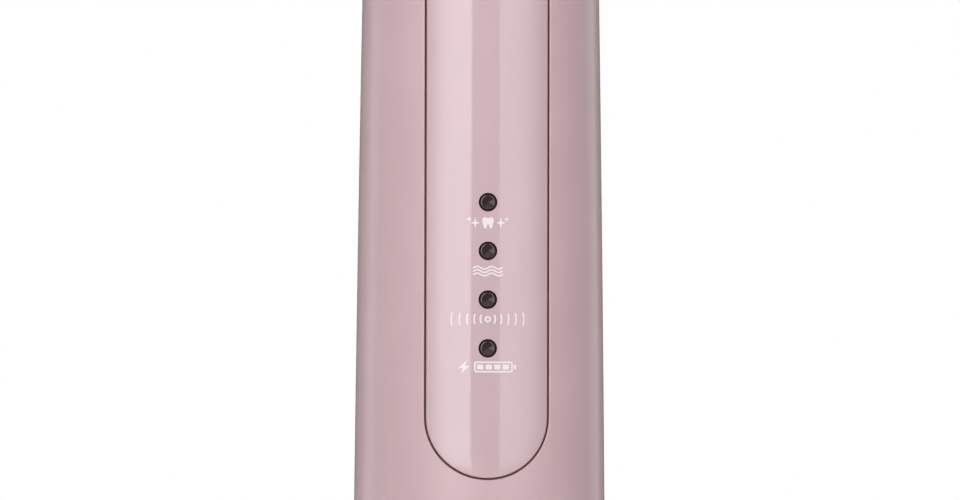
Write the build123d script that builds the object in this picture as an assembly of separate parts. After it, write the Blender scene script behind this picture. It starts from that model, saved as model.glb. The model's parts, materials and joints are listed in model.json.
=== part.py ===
from build123d import *
import math
import os

# A sonic electric toothbrush standing on its inductive charger.
#
# Millimetres, +Z up. The origin is the centre of the charger's foot ring, on the surface that it stands on.
# The control panel and the bristles face -Y. The handle and the brush head are modelled from the handle's
# own foot and then raised onto the charger's seat: every height from SEAM_H down is counted from that foot.

# Charger housing.
CHARGER_R, CHARGER_H = 28.0, 14.0
CHARGER_WALL, CHARGER_DRAFT = 1.8, 0.6
RIM_ROUND, RIM_DROP = 3.6, 0.35
SEAT_Z = 11.6
CUP_R, CUP_LIP = 15.2, 0.8
POST_R, POST_H, POST_WALL, POST_ROUND = 4.4, 9.0, 1.8, 1.4
SHELL_FOOT_Z = 1.6
PLATE_Z, PLATE_TOP, PLATE_STEP = 0.8, 2.7, 0.7
FOOT_RING_IN, FOOT_RING_OUT, FOOT_RING_SUNK = 21.0, 25.0, 0.6
SEAL_IN, SEAL_OUT = 25.2, 25.75

# Charger screws and their bosses.
SCREW_CIRCLE_R, SCREW_ANGLES = 17.5, (30, 150, 270)
SCREW_R, SCREW_HEAD_R, SCREW_TOP = 1.2, 2.3, 8.4
SCREW_HEAD_Z, SCREW_SEAT_Z = PLATE_Z + 0.35, PLATE_Z + 1.2
BOSS_R, BOSS_HOLE_R = 2.8, 1.25

# Charger insides.
BOARD_Z0, BOARD_Z1, BOARD_R = 3.0, 4.2, 13.4
TONGUE_HALF, TONGUE_Y = 6.5, 24.2
BOBBIN_R, BOBBIN_HUB_R, BOBBIN_BORE_R = 11.0, 3.4, 2.5
BOBBIN_Z0, BOBBIN_Z1, FLANGE_T = 4.7, 9.6, 0.7
COIL_R, COIL_GAP = 10.5, 0.05
FERRITE_R, FERRITE_TOP = 2.4, 18.8
SOCKET_Z, SOCKET_Y0, SOCKET_Y1 = 5.8, 19.4, 26.9
SOCKET_HALF_W, SOCKET_HALF_H, SOCKET_METAL, SOCKET_GAP = 4.45, 1.6, 0.3, 0.25
SOCKET_TONGUE_HALF, SOCKET_TONGUE_T = 3.3, 0.6

# Handle envelope, from the base cap's seam to the neck. The flank is a shallow parabola, and FLANK_R is the
# radius of its middle control point.
SEAM_R, SEAM_H = 14.40, 6.0
FLANK_R = 13.83
SHOULDER_R, SHOULDER_H = 12.06, 148.0
NECK_R, HANDLE_H = 7.35, 172.0
WALL = 2.4
NECK_BORE_R, NECK_BORE_H = 4.6, 164.0

# Base cap.
FOOT_FILLET = 4.0
CAP_BORE_R, CAP_BORE_TOP = 12.3, 13.0
SPIGOT_R, SPIGOT_WALL, SPIGOT_TOP = 12.2, 1.3, 11.0
CAP_FLOOR, CAP_SEAM_GAP = 1.8, 0.2
WELL_R, WELL_H, WELL_WALL, WELL_LIP = 5.0, 10.0, 1.2, 0.5
CAP_SEAL_H, CAP_SEAL_R, CAP_GROOVE_R, CAP_GROOVE_HALF = 8.5, 11.9, 11.48, 0.6
CORD_R = 0.38

# Control panel, a slot shape seen from the front, let into the handle shell.
SLOT_HALF = 7.05
SLOT_BOTTOM, SLOT_TOP = 26.95, 122.0
PANEL_GAP, PANEL_T, GASKET_T, GASKET_GAP, LIP_SUNK = 0.2, 1.45, 0.2, 0.02, 0.2
LEDGE = 1.35
GUIDE_R, GUIDE_BACK = 5.4, -9.75

# Indicator windows, from the lowest up.
LIGHT_NAMES = ("charge", "massage", "soft", "clean")
LIGHT_LOWEST, LIGHT_PITCH = 41.8, 5.5
LIGHT_HOLE_R, WINDOW_GAP, WINDOW_SUNK = 1.05, 0.06, 0.1
PIPE_R, PIPE_FLANGE_R, PIPE_FLANGE_T, PIPE_BACK = 1.2, 1.5, 0.7, -9.4
LED_HALF_W, LED_HALF_H, LED_T = 0.8, 0.4, 0.65
BAFFLE_HALF, BAFFLE_HOLE_R, BAFFLE_FRONT, BAFFLE_MARGIN = 3.0, 1.3, -11.3, 3.3

# Power button and its switch.
BUTTON_H = 104.0
BUTTON_R, BUTTON_HOLE_R, BUTTON_PROUD = 4.45, 4.6, 0.25
BUTTON_FLANGE_R, BUTTON_FLANGE_Y0, BUTTON_FLANGE_Y1 = 5.3, -9.65, -9.2
BUTTON_HOLLOW_R, BUTTON_HOLLOW_Y = 3.4, -12.2
BUTTON_POST_R, BUTTON_POST_Y = 1.3, -10.7
BUTTON_SEAL_Y, BUTTON_SEAL_R, BUTTON_CORD_R = -10.45, 4.18, 0.36
BUTTON_GROOVE_R, BUTTON_GROOVE_HALF = 3.8, 0.45
SWITCH_HALF, SWITCH_T, SWITCH_BORE_R, PLUNGER_R = 2.3, 1.5, 1.3, 1.2

# Main board and battery.
BOARD_FRONT, BOARD_BACK, BOARD_HALF = -8.6, -7.6, 5.2
BOARD_BOTTOM, BOARD_TOP = 17.0, 111.0
BOARD_SCREW_H, BOARD_SCREW_R, BOARD_SCREW_HEAD_R = (24.0, 84.0), 0.8, 1.5
CELL_R, CELL_Y, CELL_BOTTOM, CELL_LENGTH = 7.1, 1.2, 15.4, 50.5
CELL_BUTTON_R, CELL_BUTTON_T = 2.8, 0.8
CELL_TOP = CELL_BOTTOM + CELL_LENGTH
TAB_HALF, TAB_T = 1.8, 0.25

# Receiver coil.
RECEIVER_R, RECEIVER_HUB_R, RECEIVER_BORE_R = 10.7, 7.1, WELL_R + 1.3
RECEIVER_Z0, RECEIVER_Z1, RECEIVER_FLANGE_T, RECEIVER_COIL_R = 2.0, 10.4, 0.8, 10.2
LEAD_X, LEAD_Y, LEAD_R = 3.6, -8.1, 0.45

# Chassis.
SPINE_HALF, SPINE_BACK, SPINE_BOTTOM, SPINE_TOP = 5.5, -6.25, 16.5, 106.0
RAIL_X0, RAIL_X1, RAIL_HALF, RAIL_BOTTOM, RAIL_TOP = 7.45, 8.9, 3.0, 12.0, 122.0
CHASSIS_FOOT_R, CHASSIS_FOOT_T = 11.4, 1.5
RIB_HEIGHTS, RIB_R, RIB_T, RIB_BACK = (19.0, 36.0, 52.0, 63.0, 78.0, 92.0, 104.6), 10.0, 1.4, 5.0
CELL_CLEARANCE = 0.2
CRADLE_R, CRADLE_BOTTOM, CRADLE_MIDDLE, CRADLE_TOP = 9.3, 113.0, 122.0, 140.0

# Motor.
MOTOR_R, CAN_BORE_R, MOTOR_FIT = 7.75, 7.05, 0.05
MOTOR_BOTTOM, MOTOR_TOP = 114.0, 147.0
MOTOR_LEAD_X, MOTOR_LEAD_Y, MOTOR_LEAD_H, MOTOR_LEAD_R, LEAD_BEND_R = 2.5, 3.0, 109.0, 0.5, 2.5
STATOR_HALF_X, STATOR_HALF_Y, STATOR_Z0, STATOR_Z1 = 5.2, 2.4, 119.5, 125.0
POLE_X0, POLE_X1, POLE_HALF, POLE_Z0, POLE_Z1 = 5.1, 6.1, 3.0, 117.0, 142.0
WINDING_HALF_X, WINDING_HALF_Y, WINDING_Z0, WINDING_Z1 = 4.2, 4.9, 117.2, 127.2
BRACKET_Z0, BRACKET_Z1 = 128.2, 129.8
BEARING_R, BEARING_SEAT_R = 2.97, 3.0
REAR_BEARING_Z, FRONT_BEARING_Z = (128.0, 130.2), (146.0, 150.45)
FRONT_PLATE_TOP, SNOUT_R, SNOUT_TOP, SNOUT_BORE_R = 149.0, 4.1, 153.5, 2.0
DAMPER_R, DAMPER_TOP, SPACER_R = 7.4, 151.5, 8.3
SHAFT_R, SHAFT_BOTTOM, SHAFT_TOP, SHAFT_TIP = 1.5, 127.5, 196.0, 0.6
RUNNING_R = SHAFT_R + 0.03
FLAT_Y, FLAT_BOTTOM = 1.1, 181.0
ROTOR_R, ROTOR_Z = 2.8, (131.0, 143.0)
MAGNET_R, MAGNET_HALF, MAGNET_END = 4.4, 2.6, 0.5

# Neck.
SEAL_BOTTOM, SEAL_TOP = 164.2, 169.1
COLLAR_BORE_R, COLLAR_TOP, COLLAR_ROUND = 2.6, 174.4, 0.5

# Brush head.
HEAD_BASE, HEAD_BASE_R, HEAD_EDGE = 175.4, 7.25, 0.5
STEM_PROFILE = ((6.75, 186.0), (4.9, 201.0), (3.3, 214.0))
STEM_R, STEM_TOP = 2.9, 224.0
HEAD_CENTRE, HEAD_HALF_W, HEAD_HALF_H = 237.0, 6.3, 13.4
HEAD_FRONT, HEAD_BACK, HEAD_FILLET = -2.6, 2.2, 1.5
THROAT_TOP, THROAT_HALF_W, THROAT_HALF_T = 229.0, 3.6, 2.3
SKIRT_R, SKIRT_TOP = 5.6, 178.4
COUPLER_R, COUPLER_BOTTOM, COUPLER_TOP, COUPLER_GAP = 3.2, 178.5, 197.1, 0.05
RING_R, RING_BORE_R, RING_BOTTOM, RING_TOP, RING_GAP = 7.05, 6.35, 179.05, 181.95, 0.05
TUFT_R, TUFT_LENGTH, TUFT_SINK, TUFT_EDGE = 0.85, 10.0, 2.0, 0.35
TUFT_PITCH_X, TUFT_PITCH_Z = 2.15, 2.3
INNER_FIELD = 0.5

# Cutting bodies reach this far past what they cut.
PAST = 1.0
FRONT = -30.0
INSIDE = -3.0


def rod(r, z0, z1, x=0.0, y=0.0):
    """A cylinder along Z."""
    return Pos(x, y, (z0 + z1) / 2) * Cylinder(r, z1 - z0)


def rod_y(r, y0, y1, x=0.0, z=0.0):
    """A cylinder along Y."""
    return Pos(x, (y0 + y1) / 2, z) * Rot(90, 0, 0) * Cylinder(r, y1 - y0)


def tube(r_out, r_in, z0, z1, x=0.0, y=0.0):
    return rod(r_out, z0, z1, x, y) - rod(r_in, z0 - PAST, z1 + PAST, x, y)


def block(x0, x1, y0, y1, z0, z1):
    return Pos((x0 + x1) / 2, (y0 + y1) / 2, (z0 + z1) / 2) * Box(x1 - x0, y1 - y0, z1 - z0)


def side_block(side, x0, x1, y0, y1, z0, z1):
    """A block from x0 to x1 on the right, or its mirror image where side is -1."""
    near, far = sorted((side * x0, side * x1))
    return block(near, far, y0, y1, z0, z1)


def turned(*edges):
    """A solid turned about Z from edges that close an outline, drawn as (radius, height)."""
    return revolve(Plane.XZ * make_face(edges), axis=Axis.Z)


def lathe(points):
    """A solid turned about Z from (radius, height) corners."""
    return turned(Polyline(*points, close=True))


def stadium(half, z0, z1, y0, y1):
    """A slot shape seen along Y: straight sides and two half-round ends."""
    ends = rod_y(half, y0, y1, z=z0 + half) + rod_y(half, y0, y1, z=z1 - half)
    return ends + block(-half, half, y0, y1, z0 + half, z1 - half)


def light_heights():
    return [LIGHT_LOWEST + i * LIGHT_PITCH for i in range(len(LIGHT_NAMES))]


def flank_radius(h):
    """The handle's outer radius at a height on its flank."""
    t = (h - SEAM_H) / (SHOULDER_H - SEAM_H)
    return (1 - t) ** 2 * SEAM_R + 2 * t * (1 - t) * FLANK_R + t**2 * SHOULDER_R


def flank(inset):
    middle = (SEAM_H + SHOULDER_H) / 2
    return Bezier((SEAM_R - inset, SEAM_H), (FLANK_R - inset, middle), (SHOULDER_R - inset, SHOULDER_H))


def envelope(inset=0.0):
    """The handle's flank as a plain solid, its surface moved inwards by inset."""
    side = flank(inset)
    return turned(side, Polyline(side @ 1, (0, SHOULDER_H), (0, SEAM_H), side @ 0))


# ---------------------------------------------------------------- charger


def screw_places():
    for angle in SCREW_ANGLES:
        a = math.radians(angle)
        yield SCREW_CIRCLE_R * math.cos(a), SCREW_CIRCLE_R * math.sin(a)


def charger_top_shell():
    """Upper shell: a round puck with a dished cup and the hollow post that the handle stands over."""
    post_top = SEAT_Z + POST_H
    shoulder = (CHARGER_R - CHARGER_DRAFT, CHARGER_H - RIM_ROUND)
    crown = (CHARGER_R - CHARGER_DRAFT - RIM_ROUND, CHARGER_H - RIM_DROP)
    lip = (CUP_R + CUP_LIP, CHARGER_H)
    cup = (CUP_R, CHARGER_H - CUP_LIP)
    post_side = (POST_R, post_top - POST_ROUND)
    post_end = (POST_R - POST_ROUND, post_top)
    outer = turned(
        Polyline(shoulder, (CHARGER_R, SHELL_FOOT_Z), (0, SHELL_FOOT_Z), (0, post_top), post_end),
        RadiusArc(shoulder, crown, -RIM_ROUND),
        Line(crown, lip),
        RadiusArc(lip, cup, -CUP_LIP),
        Polyline(cup, (CUP_R, SEAT_Z), (POST_R, SEAT_Z), post_side),
        RadiusArc(post_side, post_end, -POST_ROUND),
    )
    shell = outer - charger_hollow()
    floor = SEAT_Z - CHARGER_WALL
    for x, y in screw_places():
        shell += rod(BOSS_R, PLATE_TOP + COIL_GAP, floor + CHARGER_WALL / 2, x, y)
        shell -= rod(BOSS_HOLE_R, SHELL_FOOT_Z, floor - FLANGE_T, x, y)
    return shell - socket_opening()


def charger_hollow():
    """The space inside the upper shell, under the rim, the cup and the post."""
    side = CHARGER_R - CHARGER_WALL
    rim_r, rim_z = side - 3.4, CHARGER_H - 2.1
    cup_r = CUP_R + CHARGER_WALL
    floor = SEAT_Z - CHARGER_WALL
    post_top = SEAT_Z + POST_H - POST_WALL
    return lathe([(0, SHELL_FOOT_Z - PAST), (side, SHELL_FOOT_Z - PAST), (side - CHARGER_DRAFT, rim_z - 2.9),
                  (rim_r, rim_z), (cup_r, rim_z), (cup_r, floor), (POST_R - POST_WALL, floor),
                  (POST_R - POST_WALL, post_top), (0, post_top)])


def slot_along_x(half_w, half_h, y0, y1):
    """A lying slot shape for the power socket, centred on its height."""
    standing = stadium(half_h, -half_w, half_w, y0, y1)
    return Pos(0, 0, SOCKET_Z) * Rot(0, 90, 0) * standing


def socket_opening():
    """Where the power socket's mouth meets the charger's side."""
    return slot_along_x(SOCKET_HALF_W + SOCKET_GAP, SOCKET_HALF_H + SOCKET_GAP, TONGUE_Y, CHARGER_R + PAST)


def charger_base_plate():
    rim = PLATE_Z + PLATE_STEP
    inner_r = CHARGER_R - 2.0
    plate = lathe([(0, PLATE_Z), (CHARGER_R - 1.0, PLATE_Z), (CHARGER_R - 0.3, rim), (inner_r, rim + 0.05),
                   (inner_r, PLATE_TOP), (0, PLATE_TOP)])
    plate -= tube(FOOT_RING_OUT, FOOT_RING_IN, PLATE_Z - PAST, PLATE_Z + FOOT_RING_SUNK)
    for x, y in screw_places():
        plate -= rod(SCREW_HEAD_R + 0.2, PLATE_Z - PAST, SCREW_SEAT_Z, x, y)
        plate -= rod(SCREW_R + 0.1, PLATE_Z - PAST, PLATE_TOP + PAST, x, y)
    return plate


def charger_foot_ring():
    """Rubber ring glued into a groove, on which the charger stands."""
    play = 0.05
    return tube(FOOT_RING_OUT - play, FOOT_RING_IN + play, 0, PLATE_Z + FOOT_RING_SUNK)


def charger_seal():
    return tube(SEAL_OUT, SEAL_IN, PLATE_TOP + 0.02, PLATE_TOP + 0.9)


def charger_screws():
    """Three self-tapping screws, each a separate solid with a cross recess."""
    long_half, short_half, depth = 1.3, 0.28, 0.5
    screws = []
    for x, y in screw_places():
        screw = rod(SCREW_HEAD_R, SCREW_HEAD_Z, SCREW_SEAT_Z, x, y)
        screw += rod(SCREW_R, SCREW_HEAD_Z, SCREW_TOP, x, y)
        for dx, dy in ((long_half, short_half), (short_half, long_half)):
            screw -= block(x - dx, x + dx, y - dy, y + dy, SCREW_HEAD_Z - PAST, SCREW_HEAD_Z + depth)
        screws.append(screw)
    return screws


def charger_board():
    """Round board with a tongue that carries the power socket."""
    board = rod(BOARD_R, BOARD_Z0, BOARD_Z1)
    board += block(-TONGUE_HALF, TONGUE_HALF, 0, TONGUE_Y, BOARD_Z0, BOARD_Z1)
    return board - rod(FERRITE_R + 0.2, BOARD_Z0 - PAST, BOARD_Z1 + PAST)


def charger_components():
    """Driver chip, resonant capacitor and two small capacitors on the charger's board."""
    chip = block(-6.0, -2.0, 13.5, 17.5, BOARD_Z1, BOARD_Z1 + 0.9)
    capacitor = block(3.0, 6.0, 13.2, 16.0, BOARD_Z1, BOARD_Z1 + 1.8)
    small = [block(x, x + 0.9, 12.6, 14.2, BOARD_Z1, BOARD_Z1 + 0.8) for x in (-0.9, 0.9)]
    return [chip, capacitor] + small


def transmitter_bobbin():
    spool = tube(BOBBIN_HUB_R, BOBBIN_BORE_R, BOBBIN_Z0, BOBBIN_Z1)
    spool += tube(BOBBIN_R, BOBBIN_BORE_R, BOBBIN_Z0, BOBBIN_Z0 + FLANGE_T)
    return spool + tube(BOBBIN_R, BOBBIN_BORE_R, BOBBIN_Z1 - FLANGE_T, BOBBIN_Z1)


def transmitter_coil():
    z0, z1 = BOBBIN_Z0 + FLANGE_T + COIL_GAP, BOBBIN_Z1 - FLANGE_T - COIL_GAP
    return tube(COIL_R, BOBBIN_HUB_R + COIL_GAP, z0, z1)


def ferrite_rod():
    """Core that carries the field up inside the charger's post."""
    return rod(FERRITE_R, PLATE_TOP + COIL_GAP, FERRITE_TOP)


def socket_shell():
    """Metal shell of a small power socket, its mouth facing +Y."""
    inner_w, inner_h = SOCKET_HALF_W - SOCKET_METAL, SOCKET_HALF_H - SOCKET_METAL
    outer = slot_along_x(SOCKET_HALF_W, SOCKET_HALF_H, SOCKET_Y0, SOCKET_Y1)
    return outer - slot_along_x(inner_w, inner_h, SOCKET_Y0 + 0.5, SOCKET_Y1 + PAST)


def socket_tongue():
    half = SOCKET_TONGUE_T / 2
    return block(-SOCKET_TONGUE_HALF, SOCKET_TONGUE_HALF, SOCKET_Y0 + 0.55, SOCKET_Y1 - 0.7,
                 SOCKET_Z - half, SOCKET_Z + half)


# ---------------------------------------------------------------- handle


def handle_shell():
    """One-piece housing: a tapered tube with a drawn-in neck and a stepped slot for the panel."""
    side = flank(0)
    outer = turned(
        side,
        Spline(side @ 1, (NECK_R, HANDLE_H), tangents=(side % 1, (0, 1))),
        Polyline((NECK_R, HANDLE_H), (0, HANDLE_H), (0, SEAM_H), side @ 0),
    )
    core = flank(WALL)
    above = HANDLE_H + PAST
    hollow = turned(
        core,
        Spline(core @ 1, (NECK_BORE_R, NECK_BORE_H), tangents=(core % 1, (0, 1))),
        Polyline((NECK_BORE_R, NECK_BORE_H), (NECK_BORE_R, above), (0, above), (0, SEAM_H), core @ 0),
    )
    hollow += rod(CAP_BORE_R, SEAM_H - PAST, CAP_BORE_TOP)
    pocket = stadium(SLOT_HALF, SLOT_BOTTOM, SLOT_TOP, FRONT, INSIDE) - envelope(PANEL_T + GASKET_T)
    return outer - hollow - pocket - ledge_window()


def ledge_window():
    """What is cut right through the shell, inside the ledge that the panel's gasket lies on."""
    return stadium(SLOT_HALF - LEDGE, SLOT_BOTTOM + LEDGE, SLOT_TOP - LEDGE, FRONT, INSIDE)


def panel_gasket():
    """Flat ring under the panel's edge, with a lip that fills the seam round it almost to the surface."""
    ring = stadium(SLOT_HALF - GASKET_GAP, SLOT_BOTTOM + GASKET_GAP, SLOT_TOP - GASKET_GAP, FRONT, INSIDE)
    play = PANEL_GAP - GASKET_GAP
    lip = ring - stadium(SLOT_HALF - play, SLOT_BOTTOM + play, SLOT_TOP - play, FRONT - PAST, INSIDE + PAST)
    ring -= ledge_window()
    gasket = ring & (envelope(PANEL_T) - envelope(PANEL_T + GASKET_T))
    return gasket + (lip & (envelope(LIP_SUNK) - envelope(PANEL_T + GASKET_T / 2)))


def control_panel():
    """Front inlay, flush with the handle, with four indicator holes and the button's guide collar."""
    face = stadium(SLOT_HALF - PANEL_GAP, SLOT_BOTTOM + PANEL_GAP, SLOT_TOP - PANEL_GAP, FRONT, INSIDE)
    panel = face & (envelope() - envelope(PANEL_T))
    panel += rod_y(GUIDE_R, FRONT, GUIDE_BACK, z=BUTTON_H) & envelope(PANEL_T / 2)
    panel -= rod_y(BUTTON_HOLE_R, FRONT, INSIDE, z=BUTTON_H)
    for h in light_heights():
        panel -= rod_y(LIGHT_HOLE_R, FRONT, INSIDE, z=h)
    return panel


def light_pipe(h):
    """Smoked indicator window with its flange and the pipe that reaches back to the light."""
    front = -(flank_radius(h) - WINDOW_SUNK)
    flange = front + PANEL_T + 0.05
    pipe = flange + PIPE_FLANGE_T
    window = rod_y(LIGHT_HOLE_R - WINDOW_GAP, front, flange, z=h)
    return window + rod_y(PIPE_FLANGE_R, flange, pipe, z=h) + rod_y(PIPE_R, pipe, PIPE_BACK, z=h)


def power_button():
    """Round cap that slides in the panel's collar, with a rear flange, a seal groove and a post."""
    cap = rod_y(BUTTON_R, FRONT, BUTTON_FLANGE_Y0 + 0.05, z=BUTTON_H) & envelope(-BUTTON_PROUD)
    cap += rod_y(BUTTON_FLANGE_R, BUTTON_FLANGE_Y0, BUTTON_FLANGE_Y1, z=BUTTON_H)
    cap -= rod_y(BUTTON_HOLLOW_R, BUTTON_HOLLOW_Y, BUTTON_FLANGE_Y1 + PAST, z=BUTTON_H)
    cap += rod_y(BUTTON_POST_R, BUTTON_HOLLOW_Y - 0.1, BUTTON_POST_Y, z=BUTTON_H)
    y0, y1 = BUTTON_SEAL_Y - BUTTON_GROOVE_HALF, BUTTON_SEAL_Y + BUTTON_GROOVE_HALF
    groove = rod_y(BUTTON_R + PAST, y0, y1, z=BUTTON_H)
    return cap - (groove - rod_y(BUTTON_GROOVE_R, y0 - PAST, y1 + PAST, z=BUTTON_H))


def button_seal():
    return Pos(0, BUTTON_SEAL_Y, BUTTON_H) * Rot(90, 0, 0) * Torus(BUTTON_SEAL_R, BUTTON_CORD_R)


def base_cap():
    """Bottom cap: the handle's rounded foot, the well over the charger's post, and a sealed spigot."""
    corner = (SEAM_R - FOOT_FILLET, 0)
    side = (SEAM_R, FOOT_FILLET)
    top = SEAM_H - CAP_SEAM_GAP
    inside, well_out = SPIGOT_R - SPIGOT_WALL, WELL_R + WELL_WALL
    walls = Polyline(side, (SEAM_R, top), (SPIGOT_R, top), (SPIGOT_R, SPIGOT_TOP), (inside, SPIGOT_TOP),
                     (inside, CAP_FLOOR), (well_out, CAP_FLOOR), (well_out, WELL_H + WELL_WALL),
                     (0, WELL_H + WELL_WALL), (0, WELL_H), (WELL_R, WELL_H), (WELL_R, WELL_LIP),
                     (WELL_R + WELL_LIP, 0), corner)
    cap = turned(RadiusArc(corner, side, FOOT_FILLET), walls)
    groove = tube(SPIGOT_R + PAST, CAP_GROOVE_R, CAP_SEAL_H - CAP_GROOVE_HALF, CAP_SEAL_H + CAP_GROOVE_HALF)
    return cap - groove


def base_cap_seal():
    return Pos(0, 0, CAP_SEAL_H) * Torus(CAP_SEAL_R, CORD_R)


def receiver_bobbin():
    spool = tube(RECEIVER_HUB_R, RECEIVER_BORE_R, RECEIVER_Z0, RECEIVER_Z1)
    spool += tube(RECEIVER_R, RECEIVER_BORE_R, RECEIVER_Z0, RECEIVER_Z0 + RECEIVER_FLANGE_T)
    return spool + tube(RECEIVER_R, RECEIVER_BORE_R, RECEIVER_Z1 - RECEIVER_FLANGE_T, RECEIVER_Z1)


def receiver_coil():
    z0 = RECEIVER_Z0 + RECEIVER_FLANGE_T + COIL_GAP
    z1 = RECEIVER_Z1 - RECEIVER_FLANGE_T - COIL_GAP
    return tube(RECEIVER_COIL_R, RECEIVER_HUB_R + COIL_GAP, z0, z1)


def receiver_leads():
    z0, z1 = RECEIVER_Z1 + COIL_GAP, BOARD_BOTTOM - COIL_GAP
    return [rod(LEAD_R, z0, z1, x, LEAD_Y) for x in (-LEAD_X, LEAD_X)]


def chassis():
    """Inner frame: a spine behind the board, two rails, cell ribs and the motor's ring and cradle."""
    back = BOARD_BACK + 0.05
    frame = block(-SPINE_HALF, SPINE_HALF, back, SPINE_BACK, SPINE_BOTTOM, SPINE_TOP)
    for side in (-1, 1):
        frame += side_block(side, RAIL_X0, RAIL_X1, -RAIL_HALF, RAIL_HALF, RAIL_BOTTOM, RAIL_TOP)
    frame += chassis_foot()
    for h in RIB_HEIGHTS:
        rib = rod(RIB_R, h, h + RIB_T) & block(-CHASSIS_FOOT_R, CHASSIS_FOOT_R, back, RIB_BACK, h, h + RIB_T)
        frame += rib - rod(CELL_R + CELL_CLEARANCE, h - PAST, h + RIB_T + PAST, 0, CELL_Y)
    bore_r = MOTOR_R + 0.1
    frame += tube(CRADLE_R, bore_r, CRADLE_BOTTOM, CRADLE_MIDDLE)
    back_half = block(-CRADLE_R, CRADLE_R, RAIL_HALF, CRADLE_R, CRADLE_MIDDLE - 0.1, CRADLE_TOP)
    frame += tube(CRADLE_R, bore_r, CRADLE_MIDDLE - 0.1, CRADLE_TOP) & back_half
    frame -= rod(bore_r, CRADLE_BOTTOM - PAST / 2, CRADLE_TOP + PAST)
    tab_slot = TAB_HALF + 0.4
    frame -= block(-tab_slot, tab_slot, BOARD_FRONT, SPINE_BACK + PAST, CELL_TOP - 0.7, CELL_TOP + 1.0)
    for h in BOARD_SCREW_H:
        frame -= rod_y(BOARD_SCREW_R + 0.05, BOARD_FRONT, SPINE_BACK + PAST, z=h)
    return frame


def chassis_foot():
    """Disc that sits on the receiver coil, open in the middle and at the front for the leads."""
    top = RAIL_BOTTOM + CHASSIS_FOOT_T
    disc = rod(CHASSIS_FOOT_R, RAIL_BOTTOM, top) - rod(3.0, RAIL_BOTTOM - PAST, top + PAST)
    return disc - block(-4.6, 4.6, -CHASSIS_FOOT_R - PAST, -7.0, RAIL_BOTTOM - PAST, top + PAST)


def battery_cell():
    """A standard 14500 cell with its raised contact."""
    body_top = CELL_TOP - CELL_BUTTON_T
    body = rod(CELL_R, CELL_BOTTOM, body_top, 0, CELL_Y)
    return body + rod(CELL_BUTTON_R, body_top - 0.2, CELL_TOP, 0, CELL_Y)


def battery_tabs():
    """Nickel strips from the cell's ends to the board."""
    front = BOARD_FRONT - 0.35
    low_z, rise = CELL_BOTTOM - TAB_T, 4.1
    low = block(-TAB_HALF, TAB_HALF, front, 4.0, low_z, CELL_BOTTOM)
    low += block(-TAB_HALF, TAB_HALF, front, BOARD_FRONT - 0.05, low_z, CELL_BOTTOM + rise)
    high = block(-TAB_HALF, TAB_HALF, BOARD_BACK, 3.0, CELL_TOP, CELL_TOP + TAB_T)
    return [low, high]


def main_board():
    board = block(-BOARD_HALF, BOARD_HALF, BOARD_FRONT, BOARD_BACK, BOARD_BOTTOM, BOARD_TOP)
    for h in BOARD_SCREW_H:
        board -= rod_y(BOARD_SCREW_R + 0.1, BOARD_FRONT - PAST, BOARD_BACK + PAST, z=h)
    return board


def board_screws():
    """Two slotted screws that hold the board on the chassis."""
    head_t, slot_half = 0.8, 0.2
    screws = []
    for h in BOARD_SCREW_H:
        head = rod_y(BOARD_SCREW_HEAD_R, BOARD_FRONT - head_t, BOARD_FRONT, z=h)
        head -= block(-1.0, 1.0, BOARD_FRONT - PAST, BOARD_FRONT - head_t / 2, h - slot_half, h + slot_half)
        screws.append(head + rod_y(BOARD_SCREW_R, BOARD_FRONT - 0.1, SPINE_BACK - 0.05, z=h))
    return screws


def on_board(x0, x1, z0, z1, height):
    """A component soldered to the front of the main board."""
    return block(x0, x1, BOARD_FRONT - height, BOARD_FRONT, z0, z1)


def microcontroller():
    return on_board(-2.5, 2.5, 72.0, 77.0, 1.0)


def board_components():
    """Charge controller, motor driver, inductor and two rows of small passives."""
    charge_controller = on_board(-1.6, 1.6, 29.0, 32.2, 0.9)
    motor_driver = on_board(-2.0, 2.0, 90.0, 94.5, 1.0)
    inductor = on_board(-4.4, -0.6, 64.0, 67.8, 1.6)
    row_bottom, row_pitch, length, width = 33.5, 9.5, 1.6, 0.85
    passives = []
    for row in range(5):
        z = row_bottom + row_pitch * row
        passives += [on_board(x, x + width, z, z + length, 0.6) for x in (-4.4, 3.2)]
    return [charge_controller, motor_driver, inductor] + passives


def indicator_lights():
    lights = []
    for h in light_heights():
        lights.append(on_board(-LED_HALF_W, LED_HALF_W, h - LED_HALF_H, h + LED_HALF_H, LED_T))
    return lights


def light_baffle():
    """Block between board and panel that keeps each light in its own window."""
    heights = light_heights()
    baffle = block(-BAFFLE_HALF, BAFFLE_HALF, BAFFLE_FRONT, BOARD_FRONT - 0.05,
                   heights[0] - BAFFLE_MARGIN, heights[-1] + BAFFLE_MARGIN)
    for h in heights:
        baffle -= rod_y(BAFFLE_HOLE_R, BAFFLE_FRONT - PAST, BOARD_FRONT + PAST, z=h)
    return baffle


def switch_body():
    body = on_board(-SWITCH_HALF, SWITCH_HALF, BUTTON_H - SWITCH_HALF, BUTTON_H + SWITCH_HALF, SWITCH_T)
    return body - rod_y(SWITCH_BORE_R, BOARD_FRONT - SWITCH_T - PAST, BOARD_FRONT - 0.2, z=BUTTON_H)


def switch_plunger():
    return rod_y(PLUNGER_R, BUTTON_POST_Y, BOARD_FRONT - 0.7, z=BUTTON_H)


# ---------------------------------------------------------------- motor


def motor_can():
    return tube(MOTOR_R, CAN_BORE_R, MOTOR_BOTTOM, MOTOR_TOP)


def motor_rear_cap():
    """Plate pressed into the can's rear end, with two holes for the leads."""
    rim_z = MOTOR_BOTTOM - MOTOR_FIT
    cap = rod(CAN_BORE_R - MOTOR_FIT, rim_z, MOTOR_BOTTOM + 2) + rod(MOTOR_R, MOTOR_BOTTOM - 0.8, rim_z)
    for x in (-MOTOR_LEAD_X, MOTOR_LEAD_X):
        cap -= rod(MOTOR_LEAD_R + 0.2, MOTOR_BOTTOM - 2, MOTOR_BOTTOM + 3, x, MOTOR_LEAD_Y)
    return cap


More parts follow.
